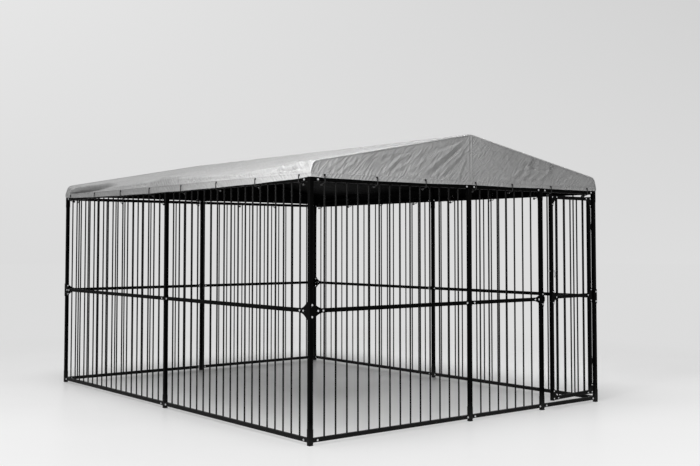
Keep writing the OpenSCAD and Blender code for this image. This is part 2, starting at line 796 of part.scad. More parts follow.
// The gable cloth draws in on both sides of the king post, below the ridge, with slanting creases
function gable_point(end, j, k, q, profile) =
    let (
        u = 2 * k / gable_across - 1,
        draw = j > across - 2 ? 0 : gable_draw * pow(sin(180 * u), 2) * pow(sin(180 * j / across), 0.6),
        crease = 0.4 * abs(sin(360 * (1.5 * abs(u) + 0.5 * j / across))),
        y = long_panel + cloth_n + q - draw * (1 - crease)
    )
    [u * profile[j][0], end == 0 ? -y : y, profile[j][1]];

function shell(q) =
    let (profile = cloth_profile(q))
    concat(
        [for (i = [0 : along], j = [0 : across_points - 1]) roof_point(i, j, q, profile)],
        [for (end = [0, 1], j = [0 : across - 1], k = [1 : gable_across - 1])
            gable_point(end, j, k, q, profile)]);

function on_roof(i, j) = i * across_points + j;
function on_gable(end, j, k) =
    j == across ? on_roof(end * along, across) :
    k == 0 ? on_roof(end * along, j) :
    k == gable_across ? on_roof(end * along, 2 * across - j) :
    roof_points + end * gable_points + j * (gable_across - 1) + k - 1;

function two_triangles(a, b, c, d) = [[a, b, c], [a, c, d]];
function turned(faces) = [for (f = faces) [f[2], f[1], f[0]]];
function gable_faces(end) =
    [for (j = [0 : across - 1], k = [0 : gable_across - 1])
        let (a = on_gable(end, j, k), b = on_gable(end, j + 1, k),
            c = on_gable(end, j + 1, k + 1), d = on_gable(end, j, k + 1))
        each (b == c ? [[a, b, d]] : two_triangles(a, b, c, d))];
shell_faces = concat(
    [for (i = [0 : along - 1], j = [0 : across_points - 2])
        each two_triangles(on_roof(i, j), on_roof(i + 1, j), on_roof(i + 1, j + 1), on_roof(i, j + 1))],
    gable_faces(0),
    turned(gable_faces(1)));
hem_line = concat(
    [for (i = [0 : along - 1]) on_roof(i, 0)],
    [for (k = [0 : gable_across - 1]) on_gable(1, 0, k)],
    [for (i = [along : -1 : 1]) on_roof(i, 2 * across)],
    [for (k = [gable_across : -1 : 1]) on_gable(0, 0, k)]);
hem_faces = [for (n = [0 : len(hem_line) - 1])
    let (a = hem_line[n], b = hem_line[(n + 1) % len(hem_line)])
    each two_triangles(a, a + shell_points, b + shell_points, b)];

module canopy() {
    color(cloth_grey) polyhedron(
        points = concat(shell(cloth_t), shell(0)),
        faces = concat(
            shell_faces,
            [for (f = turned(shell_faces)) [f[0] + shell_points, f[1] + shell_points, f[2] + shell_points]],
            hem_faces),
        convexity = 6);
}

eyelet_play = 1.5;
eyelet_wall = 1.8;
eyelet_fit = 0.2;
eyelet_rim = 2;
eyelet_up = 2;
eyelet_in = tie_d + 2 * eyelet_play;
eyelet_barrel = eyelet_in + 2 * eyelet_wall;
eyelet_hole = eyelet_barrel + 2 * eyelet_fit;
eyelet_z = hem_low + hem_h / 2 + eyelet_up;

// Lower edge of the hem along one panel of a wall: level at the posts, and bowed between them
hem_steps = 10;
function hem_bow(wall, span) = (wall == BACK ? hem_lift : -hem_droop * (span[1] - span[0]) / long_panel);
function hem_edge(wall) =
    [for (span = spans(wall, "top"), i = [0 : hem_steps - 1])
        [span[0] + (span[1] - span[0]) * i / hem_steps,
            hem_low + hem_bow(wall, span) * sin(180 * i / hem_steps)]];

// The hem band hangs from the canopy's lower edge, in four lengths that meet at the corners
module canopy_hem() {
    color(hem_grey) for (wall = WALLS) {
        reach = panel(wall) + cloth_n + (wall % 2 == 0 ? hem_t : -cloth_fit);
        on_wall(wall) translate([0, -cloth_n, 0]) rotate([90, 0, 0]) linear_extrude(hem_t) difference() {
            polygon([[-reach, hem_top], [-reach, hem_low], each hem_edge(wall), [panel(wall), hem_low],
                [reach, hem_low], [reach, hem_top]]);
            for (s = wall_ties(wall)) translate([s, eyelet_z]) circle(d = eyelet_hole);
        }
    }
}

// A moulded ring clenched over both faces of the hem band
module hem_eyelets() {
    flange = 0.8;
    color(plastic_black) for (wall = WALLS, s = wall_ties(wall))
        on_wall(wall) translate([s, -cloth_n, eyelet_z]) rotate([90, 0, 0]) difference() {
            union() {
                cylinder(h = hem_t, d = eyelet_barrel);
                translate([0, 0, hem_t]) cylinder(h = flange, d = eyelet_hole + 2 * eyelet_rim);
                translate([0, 0, -flange]) cylinder(h = flange, d = eyelet_hole + 2 * eyelet_rim);
            }
            translate([0, 0, -flange - 1]) cylinder(h = hem_t + 2 * flange + 2, d = eyelet_in);
        }
}

// A tie goes through its eyelet, over and under the top rail, and back to its ball inside the run
tie_bend = 6;
tie_sink = 4;
tie_stand = 2;
ball_drop = 5;
tie_inner = rail_w / 2 + tie_d / 2 + tie_fit;
ball_at = [tie_inner, -rail_w / 2 - tie_ball / 2 - ball_drop];
tie_outer = cloth_n + hem_t + tie_d / 2 + tie_stand;
tie_low = [-tie_outer, -rail_w / 2 - tie_d];
tie_rise = eyelet_z - top_z;
tie_back = (tie_low - ball_at) / norm(tie_low - ball_at);
tie_path = [ball_at + [0, tie_ball / 2 - tie_sink], [tie_inner, tie_rise], [-tie_outer, tie_rise], tie_low,
    ball_at + tie_back * (tie_ball / 2 - tie_sink)];

module at_ties() {
    for (wall = WALLS, s = wall_ties(wall))
        on_wall(wall) translate([s, 0, top_z]) rotate([90, 0, 90]) children();
}

module tie_cords() {
    color(plastic_black) at_ties() bent_rod(tie_path, tie_bend, tie_d);
}

// A moulded ball, with a collar round the hole that the cord comes out of
module tie_balls() {
    bore = tie_d + 2 * bar_fit;
    tie_collar = 1.5;
    color(plastic_black) at_ties() difference() {
        translate(ball_at) {
            sphere(d = tie_ball);
            rotate([-90, 0, 0]) cylinder(h = tie_ball / 2, d = bore + 2 * tie_collar);
        }
        translate(ball_at + [0, tie_ball / 2 - tie_sink - bar_fit]) rotate([-90, 0, 0])
            cylinder(h = tie_ball, d = bore);
        translate(ball_at + tie_back * (tie_ball / 2 - tie_sink - bar_fit))
            rotate([0, 0, atan2(tie_back[1], tie_back[0])]) rotate([0, 90, 0])
                cylinder(h = tie_ball, d = bore);
    }
}

// Door

door_low_rail = door_low + door_tube / 2;
door_top_rail = door_top - door_tube / 2;
door_levels = [door_low_rail, door_mid_z, door_top_rail];
stiles = [[latch_stile_s, 1], [hinge_stile_s, -1]];
gusset_bolt = gusset_leg - gusset_edge;
mid_bolt = mid_leg - gusset_edge;

// Bolts of a door joint, from the joint's middle, with x towards the door's inside
function joint_bolts(level) =
    level == 1 ? [[mid_bolt, 0], [0, mid_bolt], [0, -mid_bolt]] :
    let (up = level == 0 ? 1 : -1) [[0, 0], [gusset_bolt, 0], [0, up * gusset_bolt]];
door_joints = [for (stile = stiles, level = [0 : 2]) [stile[0], stile[1], level]];

module door_drills() {
    for (joint = door_joints, bolt = joint_bolts(joint[2]))
        cross_drill(joint[0] + joint[1] * bolt[0], door_levels[joint[2]] + bolt[1],
            door_bolt_d + 2 * bolt_fit, door_tube);
}

module stile(s) {
    translate([s, 0, door_low]) square_tube(door_top - door_low, door_tube, door_wall, door_round);
}

module door_hinge_stile() {
    color(frame_black) on_door() difference() {
        stile(hinge_stile_s);
        door_drills();
    }
}

module door_latch_stile() {
    color(frame_black) on_door() difference() {
        stile(latch_stile_s);
        door_drills();
        translate([latch_stile_s - door_tube, 0, latch_z]) rotate([0, 90, 0])
            cylinder(h = 2 * door_tube, d = latch_d + 2 * latch_fit);
    }
}

module door_rails() {
    inset = door_tube / 2 + butt_fit;
    color(frame_black) on_door() difference() {
        for (z = door_levels)
            translate([0, 0, z])
                tube_along(latch_stile_s + inset, hinge_stile_s - inset, door_tube, door_wall, door_round);
        for (s = door_bars_s())
            translate([s, 0, door_low_rail])
                cylinder(h = door_top_rail - door_low_rail, d = bar_d + 2 * bar_fit);
        door_drills();
    }
}

module door_bars() {
    color(frame_black) on_door() for (s = door_bars_s())
        translate([s, 0, 0])
            hollow_bar(door_low + door_wall, door_top - door_wall - bar_top_gap, bar_d, bar_wall);
}

// A corner gusset fills the angle of a door joint with a hollow quarter curve
module corner_gusset() {
    half = door_tube / 2;
    difference() {
        translate([-half, -half]) square(gusset_leg + half);
        translate([gusset_leg, gusset_leg]) circle(gusset_leg - half, $fn = 120);
    }
}

module middle_plate() {
    half = door_tube / 2;
    difference() {
        translate([-half, -mid_leg]) square([mid_leg + half, 2 * mid_leg]);
        for (side = [-1, 1]) translate([mid_leg, side * mid_leg]) circle(mid_leg - half, $fn = 120);
    }
}

module door_gussets() {
    color(frame_black) on_door() difference() {
        for (joint = door_joints)
            translate([joint[0], -door_tube / 2, door_levels[joint[2]]]) rotate([90, 0, 0])
                linear_extrude(plate_t) scale([joint[1], joint[2] == 2 ? -1 : 1])
                    if (joint[2] == 1) middle_plate(); else corner_gusset();
        door_drills();
    }
}

module at_door_bolts() {
    on_door() for (joint = door_joints, bolt = joint_bolts(joint[2]))
        translate([joint[0] + joint[1] * bolt[0], 0, door_levels[joint[2]] + bolt[1]]) children();
}

module door_bolts() {
    color(zinc) at_door_bolts() hex_bolt(door_tube / 2 + plate_t, door_tube / 2, door_bolt_d, door_bolt_af,
        door_bolt_head, door_nut_h, bolt_over);
}

module door_nuts() {
    color(zinc) at_door_bolts() hex_nut(door_tube / 2, door_bolt_d, door_bolt_af, door_nut_h);
}

module stile_caps() {
    plug = door_tube - 2 * door_wall - 2 * sleeve_fit;
    cap_h = 3;
    color(plastic_black) on_door() for (stile = stiles, end = [0, 1])
        translate([stile[0], 0, end == 0 ? door_low : door_top]) mirror([0, 0, end]) {
            translate([0, 0, -cap_h]) linear_extrude(cap_h) rounded_square(door_tube, door_round);
            linear_extrude(door_wall) rounded_square(plug, max(door_round - door_wall, least_round));
        }
}

// Hinges and latch

// A pintle on the corner post: a leaf on the post's face, a shoulder and an upright pin
module hinge_pintles() {
    reach = door_gap / 2 - post_w / 2;
    color(frame_black) on_wall(FRONT) for (z = hinge_heights) translate([hinge_s, 0, z]) {
        translate([reach - leaf_t, -leaf_w / 2, -leaf_h / 2]) cube([leaf_t, leaf_w, leaf_h]);
        translate([0, -eye_d / 2, -shoulder_h]) cube([reach - leaf_t / 2, eye_d, shoulder_h]);
        translate([0, 0, -shoulder_h]) cylinder(h = shoulder_h, d = eye_d);
        cylinder(h = eye_h + 2 * eye_fit, d = pin_d);
    }
}

// An eye on the door: a bored barrel on the pin, and a leaf on the hinge stile's face
module hinge_eyes() {
    reach = door_gap / 2 - door_tube / 2;
    color(frame_black) on_door() for (z = hinge_heights) translate([hinge_s, 0, z + eye_fit]) difference() {
        union() {
            cylinder(h = eye_h, d = eye_d);
            translate([-reach + leaf_t / 2, -leaf_w / 4, 0]) cube([reach - leaf_t / 2, leaf_w / 2, eye_h]);
            translate([-reach, -leaf_w / 2, eye_h / 2 - leaf_h / 2]) cube([leaf_t, leaf_w, leaf_h]);
        }
        translate([0, 0, -1]) cylinder(h = eye_h + 2, d = pin_d + 2 * pin_fit);
    }
}

// A bored plate of the latch, square to x, with its near face at x = 0
module latch_plate(bore) {
    difference() {
        translate([0, -keeper_w / 2, -keeper_h / 2]) cube([keeper_t, keeper_w, keeper_h]);
        translate([-1, 0, 0]) rotate([0, 90, 0]) cylinder(h = keeper_t + 2, d = bore);
    }
}

module latch_guides() {
    color(frame_black) on_door() for (side = [-1, 1])
        translate([latch_stile_s + side * door_tube / 2, 0, latch_z]) mirror([side < 0 ? 1 : 0, 0, 0])
            latch_plate(latch_d + 2 * latch_fit);
}

module latch_keeper() {
    color(frame_black) on_wall(FRONT) translate([door_s + post_w / 2, 0, latch_z])
        latch_plate(latch_d + 2 * keeper_fit);
}

// The latch bolt, turned down at its back end into a drop handle with a ball
module latch_bolt() {
    handle_thin = 1;
    tip = -door_tube / 2 - latch_out;
    color(zinc) on_door() translate([latch_stile_s, 0, latch_z]) {
        translate([tip, 0, 0]) rotate([0, 90, 0]) cylinder(h = latch_back - tip, d = latch_d);
        translate([latch_back, 0, 0]) sphere(d = latch_d);
        translate([latch_back - latch_d / 2, 0, -handle_drop])
            cylinder(h = handle_drop, d = latch_d - 2 * handle_thin);
        translate([latch_back - latch_d / 2, 0, -handle_drop]) sphere(d = handle_ball);
    }
}

front_left_post();
front_mid_post();
door_post();
front_right_post();
left_mid_post();
right_mid_post();
back_left_post();
back_mid_post();
back_right_post();
foot_caps();
door_post_cap();
front_top_rails();
front_mid_rails();
front_bottom_rails();
right_top_rails();
right_mid_rails();
right_bottom_rails();
back_top_rails();
back_mid_rails();
back_bottom_rails();
left_top_rails();
left_mid_rails();
left_bottom_rails();
front_bars();
right_bars();
back_bars();
left_bars();
corner_sleeves();
tee_sleeves();
corner_brackets();
door_post_plate();
frame_bolts();
frame_nuts();
left_rafters();
right_rafters();
ridge_poles();
ridge_connectors();
king_posts();
canopy();
canopy_hem();
hem_eyelets();
tie_cords();
tie_balls();
door_hinge_stile();
door_latch_stile();
door_rails();
door_bars();
door_gussets();
door_bolts();
door_nuts();
stile_caps();
hinge_pintles();
hinge_eyes();
latch_guides();
latch_bolt();
latch_keeper();
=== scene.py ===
# %% [markdown]
# # An outdoor dog run, dressed for the camera
# The run is a cage of square posts, rails and round bars with a barred door and a cloth roof. Its hard
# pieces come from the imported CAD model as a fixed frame. This lesson gives each piece a finish and
# makes the soft goods: the gable canopy, its hem band and its seam tape.

# %% Load the frame
import bpy
import json
import math
import numpy as np
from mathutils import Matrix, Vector


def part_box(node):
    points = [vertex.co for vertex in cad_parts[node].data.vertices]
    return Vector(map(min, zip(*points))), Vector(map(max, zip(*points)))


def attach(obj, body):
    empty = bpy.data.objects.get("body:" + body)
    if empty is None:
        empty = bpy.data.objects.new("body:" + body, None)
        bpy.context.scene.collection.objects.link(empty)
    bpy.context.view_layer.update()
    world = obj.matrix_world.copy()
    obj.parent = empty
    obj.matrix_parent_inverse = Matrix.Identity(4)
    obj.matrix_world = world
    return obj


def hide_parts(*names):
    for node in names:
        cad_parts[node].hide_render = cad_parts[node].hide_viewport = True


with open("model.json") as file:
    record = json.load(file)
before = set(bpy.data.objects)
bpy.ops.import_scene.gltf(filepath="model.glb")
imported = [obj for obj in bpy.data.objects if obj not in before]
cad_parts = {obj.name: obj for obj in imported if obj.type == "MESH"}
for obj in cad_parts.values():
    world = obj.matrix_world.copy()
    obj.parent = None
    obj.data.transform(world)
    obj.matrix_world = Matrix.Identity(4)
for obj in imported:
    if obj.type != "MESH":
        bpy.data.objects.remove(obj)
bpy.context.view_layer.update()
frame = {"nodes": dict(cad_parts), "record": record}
nodes = frame["nodes"]

# %% [markdown]
# ## The camera
# A camera could be moved by eye until the picture looks right. Here its place, turn and lens were
# worked out from the lines of posts and rails, because straight lines leave little doubt. It stands at
# chest height off the front left corner and looks up a little, so uprights close in towards the top.
# The frame is shifted down to keep the feet in the picture.

# %% Camera
CAMERA_PLACE = (-5.578, -7.504, 1.350)
CAMERA_TURN = (math.radians(92.66), 0.0, math.radians(-38.70))
LENS_MM = 52.22
SENSOR_MM = 36.0
FRAME_SHIFT = -0.053
bpy.ops.object.select_all(action="DESELECT")
bpy.ops.object.camera_add(location=CAMERA_PLACE, rotation=CAMERA_TURN)
camera = bpy.context.object
camera.name = "photo_camera"
camera.data.sensor_width = SENSOR_MM
camera.data.lens = LENS_MM
camera.data.shift_y = FRAME_SHIFT
bpy.context.scene.camera = camera
print("camera lens", camera.data.lens)

# %% [markdown]
# ## Finishes
# A finish is a small chain of shader nodes. It could be painted as a picture, but nodes stay sharp from
# near and far and need no file. Each chain reads Object coordinates, metres in the frame that all
# pieces share, or a cloth's own UV map, metres along the weave.

# %% Node helpers
def add_node(owner, kind, **inputs):
    """Adds a node to a material or the world, and sets the inputs that are named."""
    node = owner.node_tree.nodes.new("ShaderNode" + kind)
    for name, value in inputs.items():
        node.inputs[name.replace("_", " ")].default_value = value
    return node


def join(owner, source, target):
    """Links an output socket to an input socket."""
    owner.node_tree.links.new(source, target)


def start_finish(name, roughness=0.5, metallic=0.0, specular=0.5):
    """A new material and its Principled shader."""
    finish = bpy.data.materials.new(name)
    finish.use_nodes = True
    shader = finish.node_tree.nodes["Principled BSDF"]
    shader.inputs["Roughness"].default_value = roughness
    shader.inputs["Metallic"].default_value = metallic
    shader.inputs["Specular IOR Level"].default_value = specular
    return finish, shader


def coordinates(owner, space="Object"):
    """The place of a point, in Object coordinates or on the UV map."""
    return add_node(owner, "TexCoord").outputs[space]


print("materials before the finishes:", len(bpy.data.materials))

# %% [markdown]
# ## Sums with nodes
# A material can't run Python, so a sum is a chain of Math nodes. These helpers write such a chain as one
# line and return its result.

# %% Sums
def compute(owner, operation, *values):
    """A Math node over sockets and plain numbers, and its result."""
    node = add_node(owner, "Math")
    node.operation = operation
    for slot, value in enumerate(values):
        if isinstance(value, float):
            node.inputs[slot].default_value = value
        else:
            join(owner, value, node.inputs[slot])
    return node.outputs["Value"]


def vector_step(owner, operation, vector, value=None):
    """The outputs of a Vector Math node."""
    node = add_node(owner, "VectorMath")
    node.operation = operation
    join(owner, vector, node.inputs[0])
    if value is not None:
        node.inputs[1].default_value = value
    return node.outputs


def split(owner, vector):
    """A vector's X, Y and Z."""
    node = add_node(owner, "SeparateXYZ")
    join(owner, vector, node.inputs["Vector"])
    return node.outputs


def span(owner, value, low=0.0, high=1.0, at_low=0.0, at_high=1.0, soft=False):
    """Goes from at_low to at_high while the value goes from low to high."""
    node = add_node(owner, "MapRange", From_Min=low, From_Max=high, To_Min=at_low, To_Max=at_high)
    if soft:
        node.interpolation_type = "SMOOTHSTEP"
    join(owner, value, node.inputs["Value"])
    return node.outputs["Result"]


print("helpers for sums: compute, vector_step, split, span")

# %% [markdown]
# ## Noise, tone and bump
# No real surface has one flat colour. Noise gives the unevenness, a colour ramp turns it into tones,
# and a bump node lets it catch the light, which suits grain that is finer than any mesh.

# %% Noise, tone and bump helpers
NOISE_ROUGHNESS = 0.55


def lumps(finish, per_metre, detail=3.0, space="Object"):
    """Noise from 0 to 1, with about so many lumps to the metre."""
    noise = add_node(finish, "TexNoise", Scale=per_metre, Detail=detail, Roughness=NOISE_ROUGHNESS)
    join(finish, coordinates(finish, space), noise.inputs["Vector"])
    return noise.outputs["Fac"]


def tone_ramp(finish, value, stops):
    """A colour ramp with stops (position, tone). A tone is a grey or a colour."""
    ramp = add_node(finish, "ValToRGB")
    elements = ramp.color_ramp.elements
    while len(elements) < len(stops):
        elements.new(0.5)
    for element, (position, tone) in zip(elements, stops):
        element.position = position
        element.color = (*tone, 1.0) if isinstance(tone, tuple) else (tone, tone, tone, 1.0)
    join(finish, value, ramp.inputs["Fac"])
    return ramp.outputs["Color"]


def bump(finish, shader, height, depth, strength, under=None):
    """Bump from a height, on top of another bump if one is given."""
    node = add_node(finish, "Bump", Strength=strength, Distance=depth)
    join(finish, height, node.inputs["Height"])
    if under is not None:
        join(finish, under.outputs["Normal"], node.inputs["Normal"])
    join(finish, node.outputs["Normal"], shader.inputs["Normal"])
    return node


def multiply(finish, first, second):
    """The product of two colours."""
    mixed = add_node(finish, "Mix")
    mixed.data_type = "RGBA"
    mixed.blend_type = "MULTIPLY"
    mixed.inputs["Factor"].default_value = 1.0
    join(finish, first, mixed.inputs["A"])
    join(finish, second, mixed.inputs["B"])
    return mixed.outputs["Result"]


def cover(finish, share, under, tone):
    """A colour with a grey tone over it, which hides it where share is 1."""
    mixed = add_node(finish, "Mix")
    mixed.data_type = "RGBA"
    mixed.inputs["B"].default_value = (tone, tone, tone, 1.0)
    join(finish, share, mixed.inputs["Factor"])
    join(finish, under, mixed.inputs["A"])
    return mixed.outputs["Result"]


print("helpers for surfaces: lumps, tone_ramp, bump, multiply, cover")

# %% [markdown]
# ## Black powder coat
# The tubes and plates carry a baked powder coat: nearly black, with a satin gloss that a fine orange
# peel breaks up. Plain black would hide every edge, so slow noise lightens it a little, as handling
# does. The lower ends of the posts and the lowest rails are greyed, partly by dust and partly by a
# painted reflection of the pale floor. The round bars are a shade glossier than the square tubes, and so
# each carries a thin line of light.

# %% Powder coat
COAT_TONES = [(0.3, 0.0007), (0.55, 0.0012), (0.8, 0.0028)]
DUST_AND_REFLECTION_TONE = 0.028
DUST_AND_REFLECTION_SHARE = 0.75
DUST_AND_REFLECTION_LOW = 0.02
DUST_AND_REFLECTION_HIGH = 0.16
TUBE_GLEAM = 0.022
BAR_GLEAM = 0.11


def make_powder_coat(name, gleam):
    """Powder coat that is greyed near the floor, by dust and by a painted reflection of the floor."""
    finish, shader = start_finish(name, specular=gleam)
    tone = tone_ramp(finish, lumps(finish, per_metre=5.0, detail=5.0), COAT_TONES)
    height = split(finish, coordinates(finish))["Z"]
    # Greyer near the floor: partly dust, partly a painted reflection of the pale floor.
    dust_and_reflection = span(finish, height, low=DUST_AND_REFLECTION_LOW, high=DUST_AND_REFLECTION_HIGH, at_low=DUST_AND_REFLECTION_SHARE, at_high=0.0)
    join(finish, cover(finish, dust_and_reflection, tone, DUST_AND_REFLECTION_TONE), shader.inputs["Base Color"])
    smudges = lumps(finish, per_metre=38.0, detail=4.0)
    join(finish, span(finish, smudges, at_low=0.36, at_high=0.58), shader.inputs["Roughness"])
    peel = lumps(finish, per_metre=900.0, detail=2.0)
    bump(finish, shader, peel, depth=0.0004, strength=0.25)
    return finish


powder_coat = make_powder_coat("powder_coat", TUBE_GLEAM)
bar_coat = make_powder_coat("bar_coat", BAR_GLEAM)
print("finishes:", powder_coat.name, bar_coat.name)

# %% [markdown]
# ## Moulded black plastic
# Foot caps, end caps, eyelets and the ridge connectors are moulded. A mould leaves a matte, spark
# eroded grain, which is too fine to model, so a fine noise bump gives it.

# %% Moulded plastic
MOULDED_TONES = [(0.35, 0.002), (0.7, 0.005)]


def make_moulded_black():
    """Matte plastic with a fine grain."""
    finish, shader = start_finish("moulded_black", roughness=0.6, specular=0.1)
    tone = tone_ramp(finish, lumps(finish, per_metre=24.0), MOULDED_TONES)
    join(finish, tone, shader.inputs["Base Color"])
    bump(finish, shader, lumps(finish, per_metre=1600.0), depth=0.0003, strength=0.4)
    return finish


moulded_black = make_moulded_black()
print("finish:", moulded_black.name)

# %% [markdown]
# ## Zinc plate
# The bolts, nuts and the latch bolt are zinc plated: a bright grey metal with a faint crystal pattern,
# duller where it was handled. Voronoi cells look like such crystals, so they set the colour.

# %% Zinc
ZINC_TONES = [(0.0, (0.60, 0.61, 0.62)), (0.6, (0.74, 0.75, 0.76)), (1.0, (0.83, 0.84, 0.85))]
CRYSTALS_PER_METRE = 420.0


def make_zinc():
    """Bright metal with a faint crystal pattern."""
    finish, shader = start_finish("zinc_plate", metallic=1.0)
    crystal = add_node(finish, "TexVoronoi", Scale=CRYSTALS_PER_METRE)
    join(finish, coordinates(finish), crystal.inputs["Vector"])
    tone = tone_ramp(finish, crystal.outputs["Distance"], ZINC_TONES)
    join(finish, tone, shader.inputs["Base Color"])
    handled = lumps(finish, per_metre=130.0)
    join(finish, span(finish, handled, at_low=0.26, at_high=0.5), shader.inputs["Roughness"])
    return finish


zinc_plate = make_zinc()
print("finish:", zinc_plate.name)

# %% [markdown]
# ## Creases and threads
# The roof is a coated plain weave that was folded in a box, so patches of slanting creases cross it. A
# picture of cloth would repeat on a panel this long. Ridged noise doesn't, and stretched and turned it
# has the sharp tops that creases have. Two crossed waves are the threads.

# %% Creases and threads helpers
THREAD_PITCH = 0.003
CREASE_SLANT = math.radians(45.0)
CREASE_SIZE = (0.11, 0.024, 1.0)
# A wave texture of scale 1 turns through 20 radians in a metre.
WAVE_RATE = 20.0


def creases(finish, clouds):
    """Slanting creases that come in patches: high along a crease, low on the open cloth."""
    slant = add_node(finish, "Mapping", Rotation=(0.0, 0.0, CREASE_SLANT), Scale=CREASE_SIZE)
    slant.vector_type = "TEXTURE"
    join(finish, coordinates(finish, "UV"), slant.inputs["Vector"])
    ridges = add_node(finish, "TexNoise", Scale=1.0, Detail=3.0, Roughness=0.5)
    ridges.noise_type = "RIDGED_MULTIFRACTAL"
    ridges.inputs["Offset"].default_value = 0.9
    ridges.inputs["Gain"].default_value = 1.5
    join(finish, slant.outputs["Vector"], ridges.inputs["Vector"])
    patches = span(finish, clouds, at_low=-0.1, at_high=1.9)
    return compute(finish, "MULTIPLY", ridges.outputs["Fac"], patches)


def threads(finish):
    """The height of threads that cross at right angles."""
    scale = 2.0 * math.pi / (THREAD_PITCH * WAVE_RATE)
    heights = []
    for direction in ("X", "Y"):
        wave = add_node(finish, "TexWave", Scale=scale, Distortion=0.6)
        wave.bands_direction = direction
        join(finish, coordinates(finish, "UV"), wave.inputs["Vector"])
        heights.append(wave.outputs["Fac"])
    return compute(finish, "MAXIMUM", *heights)


print("threads lie", THREAD_PITCH, "m apart")

# %% [markdown]
# ## Stitches
# The hem and the seam tape are sewn down in two rows. There are thousands of stitches, too many to
# model, so they are dashes along the UV map. On the hem, V is the height above the floor.

# %% Stitches
STITCH_PITCH = 0.006
STITCH_SHARE = 0.68
STITCH_HALF_WIDTH = 0.0006
STITCH_TONE = 0.22
HEM_STITCH_ROWS = (1.8215, 1.8180)
TAPE_V = 6.0
TAPE_STITCH_OFF = 0.0055
TAPE_STITCH_ROWS = (TAPE_V - TAPE_STITCH_OFF, TAPE_V + TAPE_STITCH_OFF)


def stitches(finish, rows):
    """1 on the thread of both sewn rows, 0 elsewhere: a row is a V value, and it runs along U."""
    along = split(finish, coordinates(finish, "UV"))
    step = compute(finish, "FRACT", compute(finish, "DIVIDE", along["X"], STITCH_PITCH))
    thread = compute(finish, "LESS_THAN", step, STITCH_SHARE)
    near = [compute(finish, "COMPARE", along["Y"], row, STITCH_HALF_WIDTH) for row in rows]
    return compute(finish, "MULTIPLY", thread, compute(finish, "MAXIMUM", *near))


print("stitch rows:", HEM_STITCH_ROWS, TAPE_STITCH_ROWS)

# %% [markdown]
# ## Canopy cloth
# The coating evens the cloth's colour, but slow clouds and a fine fleck remain. Along the creases the
# colour carries painted light and shade: crease tops lighter, the open cloth between them darker. The
# same recipe in other tones makes the hem, the seam tape and the dark underside.
# Three bumps lie on each other: threads, a small crumple and creases.

# %% Cloth
FLECK_TONES = [(0.35, 0.9), (0.65, 1.0)]
CREASE_SHADING_TONES = [(0.25, 0.88), (0.95, 1.0)]


def make_cloth(name, dark, light, sheen, specular, sewn_rows=None):
    """Coated cloth between two tones, sewn along the given rows of its UV map."""
    finish, shader = start_finish(name, specular=specular)
    shader.inputs["Sheen Weight"].default_value = sheen
    shader.inputs["Sheen Roughness"].default_value = 0.5
    clouds = lumps(finish, per_metre=3.2, detail=6.0, space="UV")
    fleck = lumps(finish, per_metre=260.0, detail=2.0, space="UV")
    creased = creases(finish, clouds)
    colour = tone_ramp(finish, clouds, [(0.3, dark), (0.7, light)])
    # The crease ramp is painted light and shade: lighter on crease tops, darker on the open cloth.
    for fleck_and_crease_shading in (tone_ramp(finish, fleck, FLECK_TONES), tone_ramp(finish, creased, CREASE_SHADING_TONES)):
        colour = multiply(finish, colour, fleck_and_crease_shading)
    if sewn_rows:
        colour = cover(finish, stitches(finish, sewn_rows), colour, STITCH_TONE)
    join(finish, colour, shader.inputs["Base Color"])
    woven = bump(finish, shader, threads(finish), depth=0.0002, strength=0.3)
    crumple = lumps(finish, per_metre=46.0, detail=5.0, space="UV")
    crumpled = bump(finish, shader, crumple, depth=0.004, strength=0.5, under=woven)
    bump(finish, shader, creased, depth=0.005, strength=0.7, under=crumpled)
    return finish


canopy_cloth = make_cloth("canopy_cloth", 0.348, 0.402, sheen=0.1, specular=0.35)
canopy_underside = make_cloth("canopy_underside", 0.003, 0.006, sheen=0.0, specular=0.005)
hem_cloth = make_cloth("hem_cloth", 0.355, 0.410, sheen=0.1, specular=0.35, sewn_rows=HEM_STITCH_ROWS)
# The tape's lighter tones are a painted highlight along the rake edge.
tape_highlight_cloth = make_cloth("tape_highlight_cloth", 0.48, 0.54, sheen=0.0, specular=0.2, sewn_rows=TAPE_STITCH_ROWS)
print("finishes:", canopy_cloth.name, canopy_underside.name, hem_cloth.name, tape_highlight_cloth.name)

# %% [markdown]
# ## Tie cord and tie ball
# A tie is a braided elastic cord with a glossy moulded ball. Strands could be modelled, but the cord
# is 6 mm thick and there are 30 of them, so a slanting wave stands for the braid, in colour and bump.

# %% Ties
BRAID_TONES = [(0.2, 0.006), (0.8, 0.02)]
BALL_TONES = [(0.3, 0.005), (0.8, 0.012)]


def make_tie_cord():
    """Braided black elastic."""
    finish, shader = start_finish("tie_cord", roughness=0.7, specular=0.3)
    braid = add_node(finish, "TexWave", Scale=70.0, Distortion=1.5)
    braid.bands_direction = "DIAGONAL"
    join(finish, coordinates(finish), braid.inputs["Vector"])
    strands = braid.outputs["Fac"]
    join(finish, tone_ramp(finish, strands, BRAID_TONES), shader.inputs["Base Color"])
    bump(finish, shader, strands, depth=0.0004, strength=0.6)
    return finish


def make_tie_ball():
    """Glossy black plastic."""
    finish, shader = start_finish("tie_ball")
    clouds = lumps(finish, per_metre=90.0)
    join(finish, tone_ramp(finish, clouds, BALL_TONES), shader.inputs["Base Color"])
    join(finish, span(finish, clouds, at_low=0.12, at_high=0.28), shader.inputs["Roughness"])
    return finish


tie_cord = make_tie_cord()
tie_ball = make_tie_ball()
print("finishes:", tie_cord.name, tie_ball.name)

# %% [markdown]
# ## Dressing the CAD nodes
# A CAD node keeps its mesh and its place, and only its material slots change. The record names the slot
# of every node, so the finishes are handed out from that list. Bars get the glossier coat.

